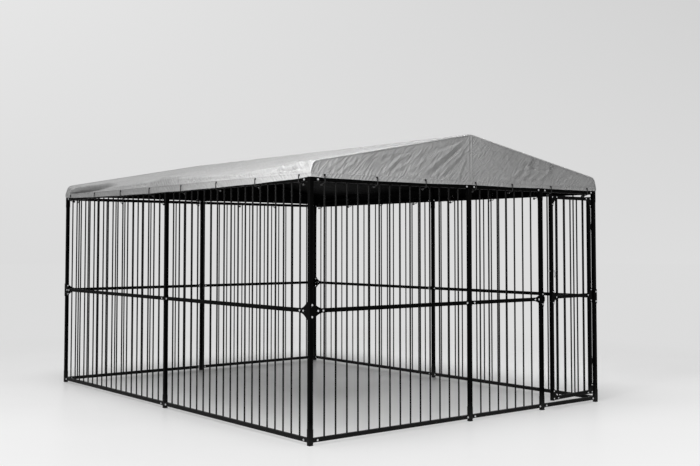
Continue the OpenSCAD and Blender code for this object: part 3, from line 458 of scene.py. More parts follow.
# %% Dress the nodes
FINISH_OF_SLOT = {
    "powder_coat": powder_coat,
    "moulded_black": moulded_black,
    "zinc": zinc_plate,
    "canopy_cloth": canopy_cloth,
    "hem_cloth": hem_cloth,
    "tie_cord": tie_cord,
    "tie_ball": tie_ball,
}
for subpart in frame["record"]["subparts"]:
    node = nodes[subpart["node"]]
    finish = FINISH_OF_SLOT[subpart["material_slot"]]
    if subpart["node"].endswith("_bars"):
        finish = bar_coat
    node.data.materials.clear()
    node.data.materials.append(finish)

# %% [markdown]
# ## The canopy's cut
# The canopy lies over three bent rafters on each side. Its cross-section over a rafter is a short skirt,
# a bend and a long straight slope. A box shaped in edit mode would give the rough form, but folds need
# points where they run. So the section is worked out from the CAD frame's sizes, in metres.

# %% Canopy sizes
HALF_W = 1.510
HALF_L = 2.000
POST_TOP = 1.795
HEM_LOW = 1.797
HEM_TOP = 1.825
RIDGE_Z = 2.166
EAVE_IN = 0.020
EAVE_RISE = 0.097
KNEE_RISE = 0.016
EAVE = np.array((HALF_W - EAVE_IN, POST_TOP + EAVE_RISE))
KNEE = np.array((HALF_W, POST_TOP + KNEE_RISE))
EAVE_BEND = 0.040
CLOTH_IN = 0.0166
CLOTH_T = 0.0016
CLOTH_OUT = CLOTH_IN + CLOTH_T
print("bent point of the rafters:", EAVE.round(3).tolist())

# %% Canopy section
SKIRT_ROWS = 9
BEND_ROWS = 9
SLOPE_ROWS = 44
BEND_SAG = 0.86
BEND_SAG_RATE = 1.25
SLOPE_SAG = 0.97
SLOPE_SAG_POWER = 1.4
SLOPE_CROWDING = 1.5


def unit(v):
    """A vector of length 1 in the same direction."""
    return v / np.linalg.norm(v)


def section_outline():
    """The hem point, the points of the bend, and the peak."""
    up = unit(np.array((0.0, RIDGE_Z)) - EAVE)
    leg = unit(EAVE - KNEE)
    leg_out = np.array((leg[1], -leg[0]))
    sweep = math.acos(float(leg @ up))
    centre = EAVE - leg * (EAVE_BEND * math.tan(sweep / 2)) - leg_out * EAVE_BEND
    turn = math.atan2(leg_out[1], leg_out[0]) + sweep * np.arange(BEND_ROWS + 1) / BEND_ROWS
    bend = centre + (EAVE_BEND + CLOTH_OUT) * np.stack((np.cos(turn), np.sin(turn)), axis=1)
    hem = np.array((HALF_W + CLOTH_OUT, HEM_TOP))
    slope_angle = math.atan2(RIDGE_Z - EAVE[1], EAVE[0])
    peak = np.array((0.0, RIDGE_Z + CLOTH_OUT / math.cos(slope_angle)))
    return hem, bend, peak


def section_rows():
    """Points of half the section from hem to ridge, their outward normals, sag shares and lengths."""
    hem, bend, peak = section_outline()
    rows, shares = [], []
    for k in range(SKIRT_ROWS):
        t = k / SKIRT_ROWS
        rows.append(hem + (bend[0] - hem) * t)
        shares.append(BEND_SAG * t)
    for k in range(BEND_ROWS):
        t = min(1.0, BEND_SAG_RATE * k / BEND_ROWS)
        rows.append(bend[k])
        shares.append(BEND_SAG + (1.0 - BEND_SAG) * math.sin(math.pi * t / 2))
    for k in range(SLOPE_ROWS + 1):
        t = (k / SLOPE_ROWS) ** SLOPE_CROWDING
        rows.append(bend[-1] + (peak - bend[-1]) * t)
        shares.append(SLOPE_SAG * (1.0 - t ** SLOPE_SAG_POWER))
    rows = np.array(rows)
    steps = np.linalg.norm(np.diff(rows, axis=0), axis=1)
    lengths = np.concatenate(([0.0], np.cumsum(steps)))
    tangents = np.gradient(rows, axis=0)
    tangents /= np.linalg.norm(tangents, axis=1)[:, None]
    normals = np.stack((tangents[:, 1], -tangents[:, 0]), axis=1)
    return rows, normals, np.array(shares), lengths


section, section_normals, sag_shares, section_lengths = section_rows()
HALF_ROWS = len(section) - 1
SECTION_LENGTH = section_lengths[-1]
print("half section:", len(section), "rows,", round(float(SECTION_LENGTH), 3), "m from hem to ridge")

# %% [markdown]
# ## Folds
# Cloth that is tied down folds along the lines of pull. A simulation finds folds of its own, but not
# these ones in these places, so they are listed one by one. Each is a straight ridge with a soft hollow
# at one side, which fades at both ends. A sum of waves in seeded random directions adds the small
# unevenness that no cloth lacks.

# %% Fold helpers
FOLD_FADE = 0.25
HOLLOW = 0.55
HOLLOW_OFF = 1.7
HOLLOW_WIDTH = 1.2
WAVE_LENGTHS = (0.6, 1.8)
FLAT_SINE = 0.5


def smooth_step(value, low, high):
    """0 below low, 1 above high, and a soft rise between them."""
    t = np.clip((value - low) / (high - low), 0.0, 1.0)
    return t * t * (3.0 - 2.0 * t)


def bell(value, middle, width):
    """1 at the middle, and next to nothing two widths from it."""
    return np.exp(-((value - middle) / width) ** 2)


def fold(x, z, start, end, width, height):
    """Height at points (x, z) of a fold from start to end."""
    a, b = np.array(start), np.array(end)
    length = np.linalg.norm(b - a)
    along = (b - a) / length
    s = ((x - a[0]) * along[0] + (z - a[1]) * along[1]) / length
    d = (z - a[1]) * along[0] - (x - a[0]) * along[1]
    ridge = bell(d, 0.0, width) - HOLLOW * bell(d, HOLLOW_OFF * width, HOLLOW_WIDTH * width)
    return height * ridge * smooth_step(np.minimum(s, 1.0 - s), 0.0, FOLD_FADE)


def ripples(a, b, seed, size, count=14):
    """A repeatable sum of waves in random directions, about 1 high, with waves about size long."""
    draw = np.random.default_rng(seed)
    total = np.zeros_like(a)
    for _ in range(count):
        angle = draw.uniform(0.0, 2.0 * math.pi)
        reach = size * draw.uniform(*WAVE_LENGTHS)
        phase = draw.uniform(0.0, 2.0 * math.pi)
        total += np.sin(2.0 * math.pi * (a * math.cos(angle) + b * math.sin(angle)) / reach + phase)
    return total / math.sqrt(count / 2.0)


sample = fold(0.5, 0.0, start=(0.0, 0.0), end=(1.0, 0.0), width=0.1, height=1.0)
print("a fold that is 1 high measures", round(float(sample), 3), "half way along")

# %% [markdown]
# ## The sag of the roof
# The long panel runs from one hem over the ridge to the other. Between the rafters it hangs, steepest
# right beside a rafter, where it is stretched over the tube. So the sag follows a flattened wave, and
# columns of points stand closer at the rafters. Even spacing would need many more.

# %% Roof columns
SAG = 0.040
SAG_IN = 0.5
ROOF_HALF = HALF_L + CLOTH_OUT
BAY_COLUMNS = 84
COLUMN_CROWDING = 0.11
RAFTER_SOFTNESS = 0.0009
BAY_POWER = 0.35


def roof_columns():
    """Places along the ridge, closer together beside the three pairs of rafters."""
    t = np.linspace(0.0, 1.0, BAY_COLUMNS + 1)
    eased = t - COLUMN_CROWDING * np.sin(2.0 * math.pi * t)
    bay = -ROOF_HALF + ROOF_HALF * eased
    return np.concatenate((bay, -bay[::-1][1:]))


def bay_share(y):
    """How much of the sag shows at a place along the ridge: none over a rafter, most between two."""
    wave = np.sin(math.pi * y / ROOF_HALF) ** 2
    return (wave + RAFTER_SOFTNESS) ** BAY_POWER - RAFTER_SOFTNESS ** BAY_POWER


columns = roof_columns()
print("columns along the ridge:", len(columns))

# %% [markdown]
# ## Folds of the roof
# Slow waves cross the whole panel and small ones break them up. Low down, the ties gather the cloth, and
# between rafters the skirt bellies out. Long pulls leave each corner, and the corners are crinkled,
# most of all the near left one. A pull is measured from its corner: in along the ridge, and up from
# the hem.

# %% Roof folds
SLOW_HEIGHT = 0.0065
SMALL_HEIGHT = 0.0012
GATHER_HEIGHT = 0.0030
GATHER_CROWDING = 1.6
CRINKLE_HEIGHT = {"left": 0.012, "right": 0.006}
BACK_CRINKLE_SHARE = 0.5
CRINKLE_STRETCH = 0.45
BELLY_HEIGHT = 0.014
CORNER_PULLS = [
    ((0.03, 0.032), (1.05, 0.128), 0.020, 0.006),
    ((0.04, 0.120), (0.70, 0.250), 0.026, 0.006),
    ((0.05, 0.018), (0.50, 0.040), 0.009, 0.005),
]
LONG_BACK_PULL = 0.036


def corner_pulls(y, length):
    """Heights of the long folds that leave the corners, the first one deeper at the back."""
    total = np.zeros_like(y)
    for corner in (-1.0, 1.0):
        for order, (start, end, width, height) in enumerate(CORNER_PULLS):
            if corner > 0 and order == 0:
                height = LONG_BACK_PULL
            begin = (corner * (ROOF_HALF - start[0]), start[1])
            stop = (corner * (ROOF_HALF - end[0]), end[1])
            total += fold(y, length, begin, stop, width, height)
    return total


def roof_height(y, length, right):
    """Fold heights from the place along the ridge and the length up from the hem."""
    inner = np.sin(math.pi * np.clip(length / SECTION_LENGTH, 0.0, 1.0)) ** FLAT_SINE
    bays = bay_share(y)
    slow = SLOW_HEIGHT * ripples(y, length, seed=11 + right, size=0.62) * inner * bays
    small = SMALL_HEIGHT * ripples(y, length, seed=31 + right, size=0.16) * bays
    near_hem = bell(length, middle=0.0, width=0.085) * smooth_step(length, low=0.0, high=0.03)
    gathers = GATHER_HEIGHT * near_hem * bays
    gathers = gathers * ripples(GATHER_CROWDING * y, length, seed=53 + right, size=0.085)
    near_corner = bell(ROOF_HALF - np.abs(y), middle=0.30, width=0.28)
    near_corner = near_corner * bell(length, middle=0.10, width=0.07)
    crumpled = np.where(y < 0.0, 1.0, BACK_CRINKLE_SHARE) * CRINKLE_HEIGHT["right" if right else "left"]
    crinkle = crumpled * ripples(CRINKLE_STRETCH * y, length, seed=71 + right, size=0.055) * near_corner
    belly = BELLY_HEIGHT * bell(length, middle=0.055, width=0.030) * bays ** 2
    return slow + small + gathers + crinkle + corner_pulls(y, length) + belly


print("corner pulls:", 4 * len(CORNER_PULLS))

# %% [markdown]
# ## The roof panel
# Sag and folds are now added to the section. A fold moves a point along the section's normal, and sag
# moves it down and a little inwards. Both fade at the panel's ends, so that the gables can join it.

# %% Roof points
END_FADE = 0.05
INWARD_FADE = 2.0


def roof_points():
    """Points and UV of the panel: a row for each column, from hem over ridge to hem."""
    points = np.zeros((len(columns), 2 * HALF_ROWS + 1, 3))
    uv = np.zeros((len(columns), 2 * HALF_ROWS + 1, 2))
    edge = smooth_step(ROOF_HALF - np.abs(columns), 0.0, END_FADE)
    for j in range(2 * HALF_ROWS + 1):
        right = j > HALF_ROWS
        side = 1.0 if right else -1.0
        row = 2 * HALF_ROWS - j if right else j
        length = np.full_like(columns, section_lengths[row])
        share = bay_share(columns) * sag_shares[row]
        lift = roof_height(columns, length, right) * edge * (0.0 if row == 0 else 1.0)
        inward = SAG_IN * min(1.0, INWARD_FADE * (1.0 - section_lengths[row] / SECTION_LENGTH))
        x = section[row][0] - inward * SAG * share + lift * section_normals[row][0]
        points[:, j, 0] = side * x
        points[:, j, 1] = columns
        points[:, j, 2] = section[row][1] - SAG * share + lift * section_normals[row][1]
        uv[:, j, 0] = columns
        uv[:, j, 1] = (SECTION_LENGTH - length) * side
    return points, uv


roof, roof_uv = roof_points()
print("roof panel:", roof.shape[0], "by", roof.shape[1], "points")

# %% [markdown]
# ## Folds of the gables
# A gable panel fills the triangle under a pair of rafters. Its folds could be a bump alone, but light
# rakes across it, so they are real shape, given one by one: a fan from the apex down to the left, short
# slanting wrinkles beyond it, and pleats under the right rake. Each line gives a fold's start and end,
# across the run and above the floor, then its width and its height.

# %% Gable folds
GABLE_FOLDS = [
    ((-0.03, 2.165), (-0.36, 2.03), 0.012, -0.005),
    ((-0.06, 2.15), (-0.5, 1.85), 0.016, 0.0085),
    ((-0.05, 2.11), (-0.46, 1.815), 0.009, -0.0085),
    ((-0.04, 2.07), (-0.34, 1.825), 0.014, 0.0065),
    ((-0.04, 2.01), (-0.14, 1.835), 0.014, 0.0045),
    ((-0.21, 1.88), (-0.26, 1.8), 0.012, 0.004),
    ((-0.1, 1.89), (-0.14, 1.8), 0.012, 0.004),
    ((-0.3, 2.08), (-0.47, 1.975), 0.02, -0.005),
    ((-0.46, 2.055), (-0.56, 1.96), 0.014, 0.005),
    ((-0.46, 1.985), (-0.56, 1.89), 0.013, 0.0045),
    ((-0.6, 2.015), (-0.73, 1.91), 0.014, 0.005),
    ((-0.65, 2.01), (-0.9, 1.83), 0.014, 0.0075),
    ((-0.6, 1.95), (-0.84, 1.835), 0.013, 0.005),
    ((-0.76, 2.045), (-0.82, 1.93), 0.011, 0.0045),
    ((-0.8, 2.035), (-0.86, 1.935), 0.01, -0.0045),
    ((-0.83, 2.025), (-0.92, 1.93), 0.012, 0.0045),
    ((-0.95, 1.99), (-1.06, 1.9), 0.014, 0.0035),
    ((-1.12, 1.93), (-1.25, 1.84), 0.013, 0.0045),
    ((-1.21, 1.925), (-1.34, 1.84), 0.013, 0.0045),
    ((-1.27, 1.935), (-1.4, 1.84), 0.012, 0.004),
    ((0.18, 2.02), (0.48, 1.83), 0.022, 0.0065),
    ((0.41, 2.085), (0.4, 2.000), 0.012, -0.0055),
    ((0.49, 2.07), (0.46, 1.99), 0.012, -0.0055),
    ((0.73, 2.06), (0.6, 1.93), 0.016, -0.0095),
    ((0.75, 2.06), (0.64, 1.93), 0.012, 0.009),
    ((0.83, 2.04), (0.72, 1.94), 0.013, -0.009),
    ((0.96, 2.02), (0.86, 1.93), 0.012, -0.009),
    ((0.98, 2.01), (0.88, 1.905), 0.012, 0.009),
    ((0.62, 1.965), (0.48, 1.86), 0.013, 0.0075),
    ((0.71, 1.945), (0.58, 1.85), 0.013, 0.0075),
    ((0.82, 1.94), (0.68, 1.85), 0.013, 0.0075),
    ((0.9, 1.92), (0.78, 1.855), 0.013, 0.007),
    ((0.62, 1.96), (0.9, 1.91), 0.014, 0.006),
    ((1.16, 1.975), (1.02, 1.885), 0.014, 0.0075),
    ((1.13, 1.96), (1.00, 1.87), 0.013, -0.0045),
    ((1.26, 1.95), (1.08, 1.87), 0.013, -0.0045),
    ((0.2, 1.85), (0.75, 1.842), 0.014, 0.004),
    ((-0.95, 1.85), (-0.45, 1.842), 0.014, 0.0035),
]
print("folds on a gable:", len(GABLE_FOLDS))

# %% [markdown]
# ## The gable panels
# The king post behind a gable shows as two fine upright lines. Everything fades at the seams, so the
# panel meets the roof's edge exactly, and the cloth draws in deeper only where no pole stands behind
# it. The far gable has the same folds, turned round.

# %% Gable points
GABLE_COLUMNS = 200
GABLE_CROWDING = 1.25
GABLE_DRAW = 0.005
GABLE_SLOW_HEIGHT = 0.0016
GABLE_SMALL_HEIGHT = 0.0007
GABLE_SMALL_SLANT = 0.8
GABLE_SMALL_STRETCH = 0.3
CLEAR_OF_POLES = 0.0022
DEEPER_OFF_POLES = 0.012
KING_HALF = 0.0165
KING_LINE = 0.0030
SKIRT_RAKE = 0.2


def gable_lift(x, z, top, flip):
    """How far the gable stands out at points (x, z) under a rake whose height there is top."""
    q = -x if flip else x
    off_middle = np.abs(x)
    lift = np.zeros_like(x)
    for start, end, width, height in GABLE_FOLDS:
        lift += fold(q, z, start, end, width, height)
    lift += GABLE_SLOW_HEIGHT * ripples(q, z, seed=91, size=0.34)
    slanted = q + GABLE_SMALL_SLANT * z
    lift += GABLE_SMALL_HEIGHT * ripples(slanted, GABLE_SMALL_STRETCH * z, seed=97, size=0.06)
    lift -= GABLE_DRAW * np.sin(math.pi * np.clip(off_middle / HALF_W, 0.0, 1.0)) ** 2
    off_poles = smooth_step(top - z, low=0.045, high=0.085)
    off_poles = off_poles * smooth_step(HALF_W - off_middle, low=0.060, high=0.110)
    off_poles = off_poles * smooth_step(off_middle, low=0.020, high=0.075)
    lift = np.maximum(lift, -CLEAR_OF_POLES - DEEPER_OFF_POLES * off_poles)
    lift = lift * smooth_step(off_middle, low=0.012, high=0.05)
    lift += KING_LINE * bell(off_middle, KING_HALF, width=0.0045)
    seam_fade = smooth_step(z - HEM_TOP, low=0.0, high=0.030) * smooth_step(top - z, low=0.0, high=0.014)
    return lift * seam_fade


def gable_points(end):
    """Inner points of a gable, in HALF_ROWS rows of GABLE_COLUMNS - 1 between the panel's edges."""
    k = np.arange(1, GABLE_COLUMNS) / GABLE_COLUMNS * 2.0 - 1.0
    spread = np.sign(k) * np.abs(k) ** GABLE_CROWDING
    points = np.zeros((HALF_ROWS, GABLE_COLUMNS - 1, 3))
    eave = section[-1 - SLOPE_ROWS]
    slope = (section[-1][1] - eave[1]) / eave[0]
    for j in range(HALF_ROWS):
        x = spread * section[j][0]
        z = np.full_like(x, section[j][1])
        beside_skirt = z + SKIRT_RAKE * (section[j][0] - np.abs(x))
        rake = np.where(np.abs(x) > eave[0], beside_skirt, section[-1][1] - slope * np.abs(x))
        points[j, :, 0] = x
        points[j, :, 1] = end * (ROOF_HALF + gable_lift(x, z, rake, end > 0))
        points[j, :, 2] = z
    return points


front_gable = gable_points(-1.0)
back_gable = gable_points(1.0)
print("each gable:", front_gable.shape[0], "by", front_gable.shape[1], "points")

# %% [markdown]
# ## One sheet
# Three objects could part at a seam, so the three panels are one mesh with shared edge points. All
# points are in one list: the roof's, then those inside the front gable, then those inside the back one.
# The faces wind outwards.

# %% Canopy faces
def roof_index(i, j):
    """The number of a point of the roof panel."""
    return i * (2 * HALF_ROWS + 1) + j


def gable_index(end, j, k):
    """The number of a point of a gable, which on the gable's edge is one of the roof's."""
    edge = 0 if end < 0 else len(columns) - 1
    if j == HALF_ROWS:
        return roof_index(edge, HALF_ROWS)
    if k == 0:
        return roof_index(edge, j)
    if k == GABLE_COLUMNS:
        return roof_index(edge, 2 * HALF_ROWS - j)
    inside = GABLE_COLUMNS - 1
    base = roof_index(len(columns), 0) + (0 if end < 0 else HALF_ROWS * inside)
    return base + j * inside + k - 1


def canopy_faces():
    """The faces of the roof panel and of both gables."""
    faces = []
    for i in range(len(columns) - 1):
        for j in range(2 * HALF_ROWS):
            corners = ((i, j), (i, j + 1), (i + 1, j + 1), (i + 1, j))
            faces.append(tuple(roof_index(*corner) for corner in corners))
    for end in (-1, 1):
        for j in range(HALF_ROWS):
            for k in range(GABLE_COLUMNS):
                a, b = gable_index(end, j, k), gable_index(end, j, k + 1)
                c, d = gable_index(end, j + 1, k + 1), gable_index(end, j + 1, k)
                face = (a, b, c) if c == d else (a, b, c, d)
                faces.append(face if end < 0 else face[::-1])
    return faces


sheet_faces = canopy_faces()
print("canopy before it gets its thickness:", len(sheet_faces), "faces")

# %% [markdown]
# ## The canopy piece
# A Solidify modifier gives the cloth its thickness, inwards, so the outer side stays where it was laid.
# Its second material, a near-black one, goes to the inner side. The gables' UV lies metres away from the
# roof's, so they don't share creases.

# %% Canopy mesh
GABLE_UV_STEP = 8.0


def new_piece(name, points, faces, uv_of_point, materials):
    """A smooth mesh object at the origin, selected and active, with a UV for every point."""
    bpy.ops.object.select_all(action="DESELECT")
    mesh = bpy.data.meshes.new(name)
    mesh.from_pydata([tuple(p) for p in points], [], faces)
    mesh.update()
    corner_points = np.zeros(len(mesh.loops), dtype=np.int32)
    mesh.loops.foreach_get("vertex_index", corner_points)
    layer = mesh.uv_layers.new(name="weave")
    layer.data.foreach_set("uv", uv_of_point[corner_points].astype(np.float32).ravel())
    piece = bpy.data.objects.new(name, mesh)
    bpy.context.collection.objects.link(piece)
    for finish in materials:
        mesh.materials.append(finish)
    piece.select_set(True)
    bpy.context.view_layer.objects.active = piece
    bpy.ops.object.shade_smooth()
    return piece


def thicken(piece, thickness):
    """Gives a sheet its thickness inwards, with its second material on the inner side."""
    layer = piece.modifiers.new("thickness", "SOLIDIFY")
    layer.thickness = thickness
    layer.offset = -1.0
    layer.material_offset = 1
    layer.material_offset_rim = 0
    bpy.ops.object.modifier_apply(modifier=layer.name)


canopy_points = [roof.reshape(-1, 3)]
canopy_uv = [roof_uv.reshape(-1, 2)]
for number, gable in enumerate((front_gable, back_gable), start=1):
    flat = gable.reshape(-1, 3)
    canopy_points.append(flat)
    canopy_uv.append(np.stack((flat[:, 0] + GABLE_UV_STEP * number, flat[:, 2]), axis=1))
canopy = new_piece("canopy_sheet", np.concatenate(canopy_points), sheet_faces,
                   np.concatenate(canopy_uv), [canopy_cloth, canopy_underside])
thicken(canopy, CLOTH_T)
print("canopy:", len(canopy.data.polygons), "faces")

# %% [markdown]
# ## Where the ties are
# The hem has an eyelet for every tie. Their places could be typed in, but the eyelets are CAD rings, so
# they are read from that node's mesh. A gap along the wall tells one ring from the next.

# %% Tie places
RING_GAP = 0.05


def tie_places():
    """For each wall, the places of its eyelets along it."""
    rings = nodes["hem_eyelets"].data
    points = np.zeros(len(rings.vertices) * 3, dtype=np.float32)
    rings.vertices.foreach_get("co", points)
    x, y = points.reshape(-1, 3)[:, :2].T
    walls = {"front": x[y < -HALF_L], "back": x[y > HALF_L],
             "left": y[x < -HALF_W], "right": y[x > HALF_W]}
    places = {}
    for wall, values in walls.items():
        values = np.sort(values)
        groups = np.split(values, np.where(np.diff(values) > RING_GAP)[0] + 1)
        places[wall] = [float((g[0] + g[-1]) / 2.0) for g in groups]
    return places


ties = tie_places()
ring_low, ring_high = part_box("hem_eyelets")
EYELET_Z = (ring_low[2] + ring_high[2]) / 2.0
print("ties:", {wall: len(values) for wall, values in ties.items()}, "at", round(EYELET_Z, 4))

# %% [markdown]
# ## How the hem hangs
# The canopy's lower edge is folded over and sewn into a double band. On the long walls it hangs in one
# line from corner to corner, over the rail. On the front it droops from post to post, and on the back
# it lifts. A simulation would need the pull of every tie, so the line is a flattened sine between the
# points that hold it.

# %% Hem line
HEM_DROOP = {"front": 0.012, "right": 0.014, "left": 0.014}
HEM_LIFT = 0.008
HEM_HOLDS = {
    "front": [-HALF_W, 0.0, 0.824, HALF_W],
    "right": [-HALF_L, HALF_L],
    "back": [-HALF_W, 0.0, HALF_W],
    "left": [-HALF_L, HALF_L],
}


def between(knots, stops):
    """For each stop, its share of the way from one knot to the next, and that gap's length."""
    knots = np.array(knots)
    gap = np.clip(np.searchsorted(knots, stops, side="right") - 1, 0, len(knots) - 2)
    length = knots[gap + 1] - knots[gap]
    return np.clip((stops - knots[gap]) / length, 0.0, 1.0), length


def hem_edge(wall, stops):
    """Height of the band's lower edge, which droops more over a longer gap."""
    share, length = between(HEM_HOLDS[wall], stops)
    bow = HEM_LIFT if wall == "back" else -HEM_DROOP[wall] * length / HALF_L
    return HEM_LOW + bow * np.sin(math.pi * share) ** FLAT_SINE


print("middle of the left hem:", hem_edge("left", np.zeros(1)).round(4).tolist())

# %% [markdown]
# ## The hem band
# The band is a long grid. Its columns leave one small square behind each eyelet, and that face is left
# out for the cord to pass, because a Boolean cut would leave ragged faces. Between two ties the band
# rises a little and its lower edge flares out. On the long walls it also stands off in the middle, to
# pass over the middle post's bolt heads.

# %% Hem grid
HEM_T = 0.0024
HEM_STEP = 0.022
HEM_END_GAP = 0.02
HEM_FOLD = 0.002
HEM_OVERLAP = 0.0025
HEM_RISE = 0.002
HEM_WAVE = 0.0010
HEM_TOP_WAVE = 0.3
HEM_ARCH_POWER = 1.5
HEM_FLARE = (0.005, 0.0045, 0.002, 0.0, 0.0, 0.0, 0.0)
HOLE_HALF = 0.0045
HOLE_CLEAR = 0.012
HOLE_ROW = 3
BOLT_COVER = 0.0055
BOLT_COVER_REACH = 0.10


def hem_stops(wall, half):
    """Places of the band's columns, with two at the sides of every eyelet's hole."""
    stops = [-half, *np.arange(-half + HEM_END_GAP, half - HEM_END_GAP / 2.0, HEM_STEP), half]
    for tie in ties[wall]:
        stops = [s for s in stops if abs(s - tie) > HOLE_CLEAR]
        stops += [tie - HOLE_HALF, tie + HOLE_HALF]
    return np.array(sorted(stops))


def hem_heights(wall, stops):
    """Heights of the band's rows, from its lower edge up."""
    edge = hem_edge(wall, stops)
    hole_low = EYELET_Z - HOLE_HALF
    heights = [edge, edge + HEM_FOLD, (edge + hole_low) / 2.0]
    for level in (hole_low, EYELET_Z + HOLE_HALF, HEM_TOP - HEM_FOLD, HEM_TOP + HEM_OVERLAP):
        heights.append(np.full_like(stops, level))
    return heights


def hem_points(wall, stops, heights, half):
    """The band's points, row by row."""
    along_x = wall in ("front", "back")
    side = -1.0 if wall in ("front", "left") else 1.0
    arch = np.sin(math.pi * between([-half] + ties[wall] + [half], stops)[0]) ** HEM_ARCH_POWER
    wave = HEM_WAVE * ripples(stops, np.zeros_like(stops), seed=7 + len(wall), size=0.16) * arch
    points = []
    for r, row in enumerate(heights):
        low_share = 1.0 - r / (len(heights) - 1)
        out = CLOTH_IN + HEM_T + wave * (HEM_TOP_WAVE + low_share) + HEM_FLARE[r] * arch
        if r < HOLE_ROW and not along_x:
            out = out + BOLT_COVER * bell(stops, 0.0, BOLT_COVER_REACH)
        level = row + HEM_RISE * arch * low_share
        if along_x:
            points += zip(stops, side * (HALF_L + out), level)
        else:
            points += zip(side * (HALF_W + out), stops, level)
    return points


def hem_faces(wall, stops, rows):
    """The band's faces, which wind outwards, without the ones behind the eyelets."""
    width = len(stops)
    faces = []
    for r in range(rows - 1):
        for c in range(width - 1):
            middle = (stops[c] + stops[c + 1]) / 2.0
            if r == HOLE_ROW and min(abs(middle - tie) for tie in ties[wall]) < HOLE_HALF / 4.0:
                continue
            a = r * width + c
            face = (a, a + 1, a + 1 + width, a + width)
            faces.append(face if wall in ("front", "right") else face[::-1])
    return faces


print("rows of a hem band:", len(HEM_FLARE))

# %% [markdown]
# ## Four bands
# Each wall gets a band of its own, because the weave follows the wall. The same steps make all four.

# %% Hem bands
def hem_band(wall):
    """The finished band of one wall."""
    half = (HALF_W if wall in ("front", "back") else HALF_L) + CLOTH_IN + HEM_T
    stops = hem_stops(wall, half)
    heights = hem_heights(wall, stops)
    points = hem_points(wall, stops, heights, half)
    faces = hem_faces(wall, stops, len(heights))
    uv = np.concatenate([np.stack((stops, row), axis=1) for row in heights])
    band = new_piece("hem_band_" + wall, points, faces, uv, [hem_cloth, canopy_underside])
    thicken(band, HEM_T)
    return band


hem_pieces = []
for wall in ("front", "right", "back", "left"):
    band = hem_band(wall)
    hem_pieces.append(band)
    print(band.name, len(band.data.polygons), "faces")

# %% [markdown]
# ## Tape on the rake seams
# Where the gable is sewn to the roof, the seam is bound in a tape, and the tape's light tone is a
# painted highlight along the rake edge. It runs up the corner from the hem, round the bend and along the
# rake to the apex. A bevelled curve would be round, and this tape is flat. So a low oval ring is set at
# every point of the seam, bent over the edge of the cloth to hug both panels, and each ring is joined to
# the next. An edit mode operator turns the faces outwards, because the two ends of the roof wind in
# opposite ways.

# %% Seam tape
SEAM_W = 0.016
SEAM_H = 0.0030
SEAM_SINK = 0.0008
SEAM_FOLD = 0.72
RING_POINTS = 8


def seam_rings(end):
    """Points and UV of the rings along one seam."""
    line = roof[0 if end < 0 else -1]
    ahead = np.array((0.0, float(end), 0.0))
    lengths = np.concatenate(([0.0], np.cumsum(np.linalg.norm(np.diff(line, axis=0), axis=1))))
    points, uv = [], []
    for j in range(len(line)):
        right = j > HALF_ROWS
        normal = section_normals[2 * HALF_ROWS - j if right else j]
        out = np.array((normal[0] if right else -normal[0], 0.0, normal[1]))
        if j == HALF_ROWS:
            out = np.array((0.0, 0.0, 1.0))
        corner = unit(out + ahead)
        side = unit(out - ahead)
        base = line[j] - corner * SEAM_SINK
        for step in range(RING_POINTS):
            angle = 2.0 * math.pi * step / RING_POINTS
            spread = math.cos(angle) * SEAM_W / 2.0
            bent = base + side * spread - corner * abs(spread) * SEAM_FOLD
            points.append(bent + corner * (math.sin(angle) * SEAM_H / 2.0 + SEAM_H / 4.0))
            uv.append((lengths[j], TAPE_V + spread))
    return points, np.array(uv)


def seam_tape(name, end):
    """A tape along the edge of the roof panel at one end, from hem to hem over the apex."""
    points, uv = seam_rings(end)
    last = len(points) - RING_POINTS
    faces = []
    for first in range(0, last, RING_POINTS):
        for c in range(RING_POINTS):
            a, b = first + c, first + (c + 1) % RING_POINTS
            faces.append((a, b, b + RING_POINTS, a + RING_POINTS))
    faces.append(tuple(range(RING_POINTS))[::-1])
    faces.append(tuple(range(last, last + RING_POINTS)))
    tape = new_piece(name, points, faces, uv, [tape_highlight_cloth])
    bpy.ops.object.mode_set(mode="EDIT")
    bpy.ops.mesh.select_all(action="SELECT")
    bpy.ops.mesh.normals_make_consistent(inside=False)
    bpy.ops.object.mode_set(mode="OBJECT")
    return tape


seams = [seam_tape("rake_seam_front", -1), seam_tape("rake_seam_back", 1)]
print("seams:", [s.name for s in seams])

# %% [markdown]
# ## What the soft pieces ride with
# The canopy is tied down to the run, so all of it rides with the run.

for piece in (canopy, *hem_pieces, *seams):
    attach(piece, "run")
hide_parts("canopy")
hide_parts("canopy_hem")
print("panel is", round(2.0 * float(SECTION_LENGTH), 3), "m across")

# %% [markdown]
# ## The background's tone
# The picture was taken in a pale studio whose floor runs into the wall without an edge. More light would
# whiten the background, but the run too. So floor and wall show painted light of their own, a tone seen
# only by the camera, by reflections and through clear things. Light Path tells those rays from falling
# light.

# %% Background helpers
WHITE = (1.0, 1.0, 1.0, 1.0)
BACKGROUND_TONE = 0.72


def seen_directly(owner):
    """1 for what the camera, a reflection or a clear surface looks at, 0 for falling light."""
    rays = add_node(owner, "LightPath").outputs
    seen = rays["Is Camera Ray"]
    for kind in ("Is Glossy Ray", "Is Transmission Ray"):
        seen = compute(owner, "MAXIMUM", seen, rays[kind])
    return seen


def choose(owner, share, first, second):
    """The first shader where share is 0, and the second where it is 1."""
    node = add_node(owner, "MixShader")
    join(owner, share, node.inputs["Fac"])
    join(owner, first, node.inputs[1])
    join(owner, second, node.inputs[2])
    return node.outputs["Shader"]


print("background tone:", BACKGROUND_TONE)

# %% [markdown]
# ## The floor
# A curved backdrop would stand in the way of views from behind, so the floor is a large flat disc. Away
# from a box under the back right of the roof, the camera and reflections see a painted glow instead of
# the lit floor: painted light, brightest in front and in the background's tone far away so no edge
# shows, which fades out the run's shadow there. In the box it is a plain pale floor that takes the run's
# shadow, because the studio's light comes in from the front left.

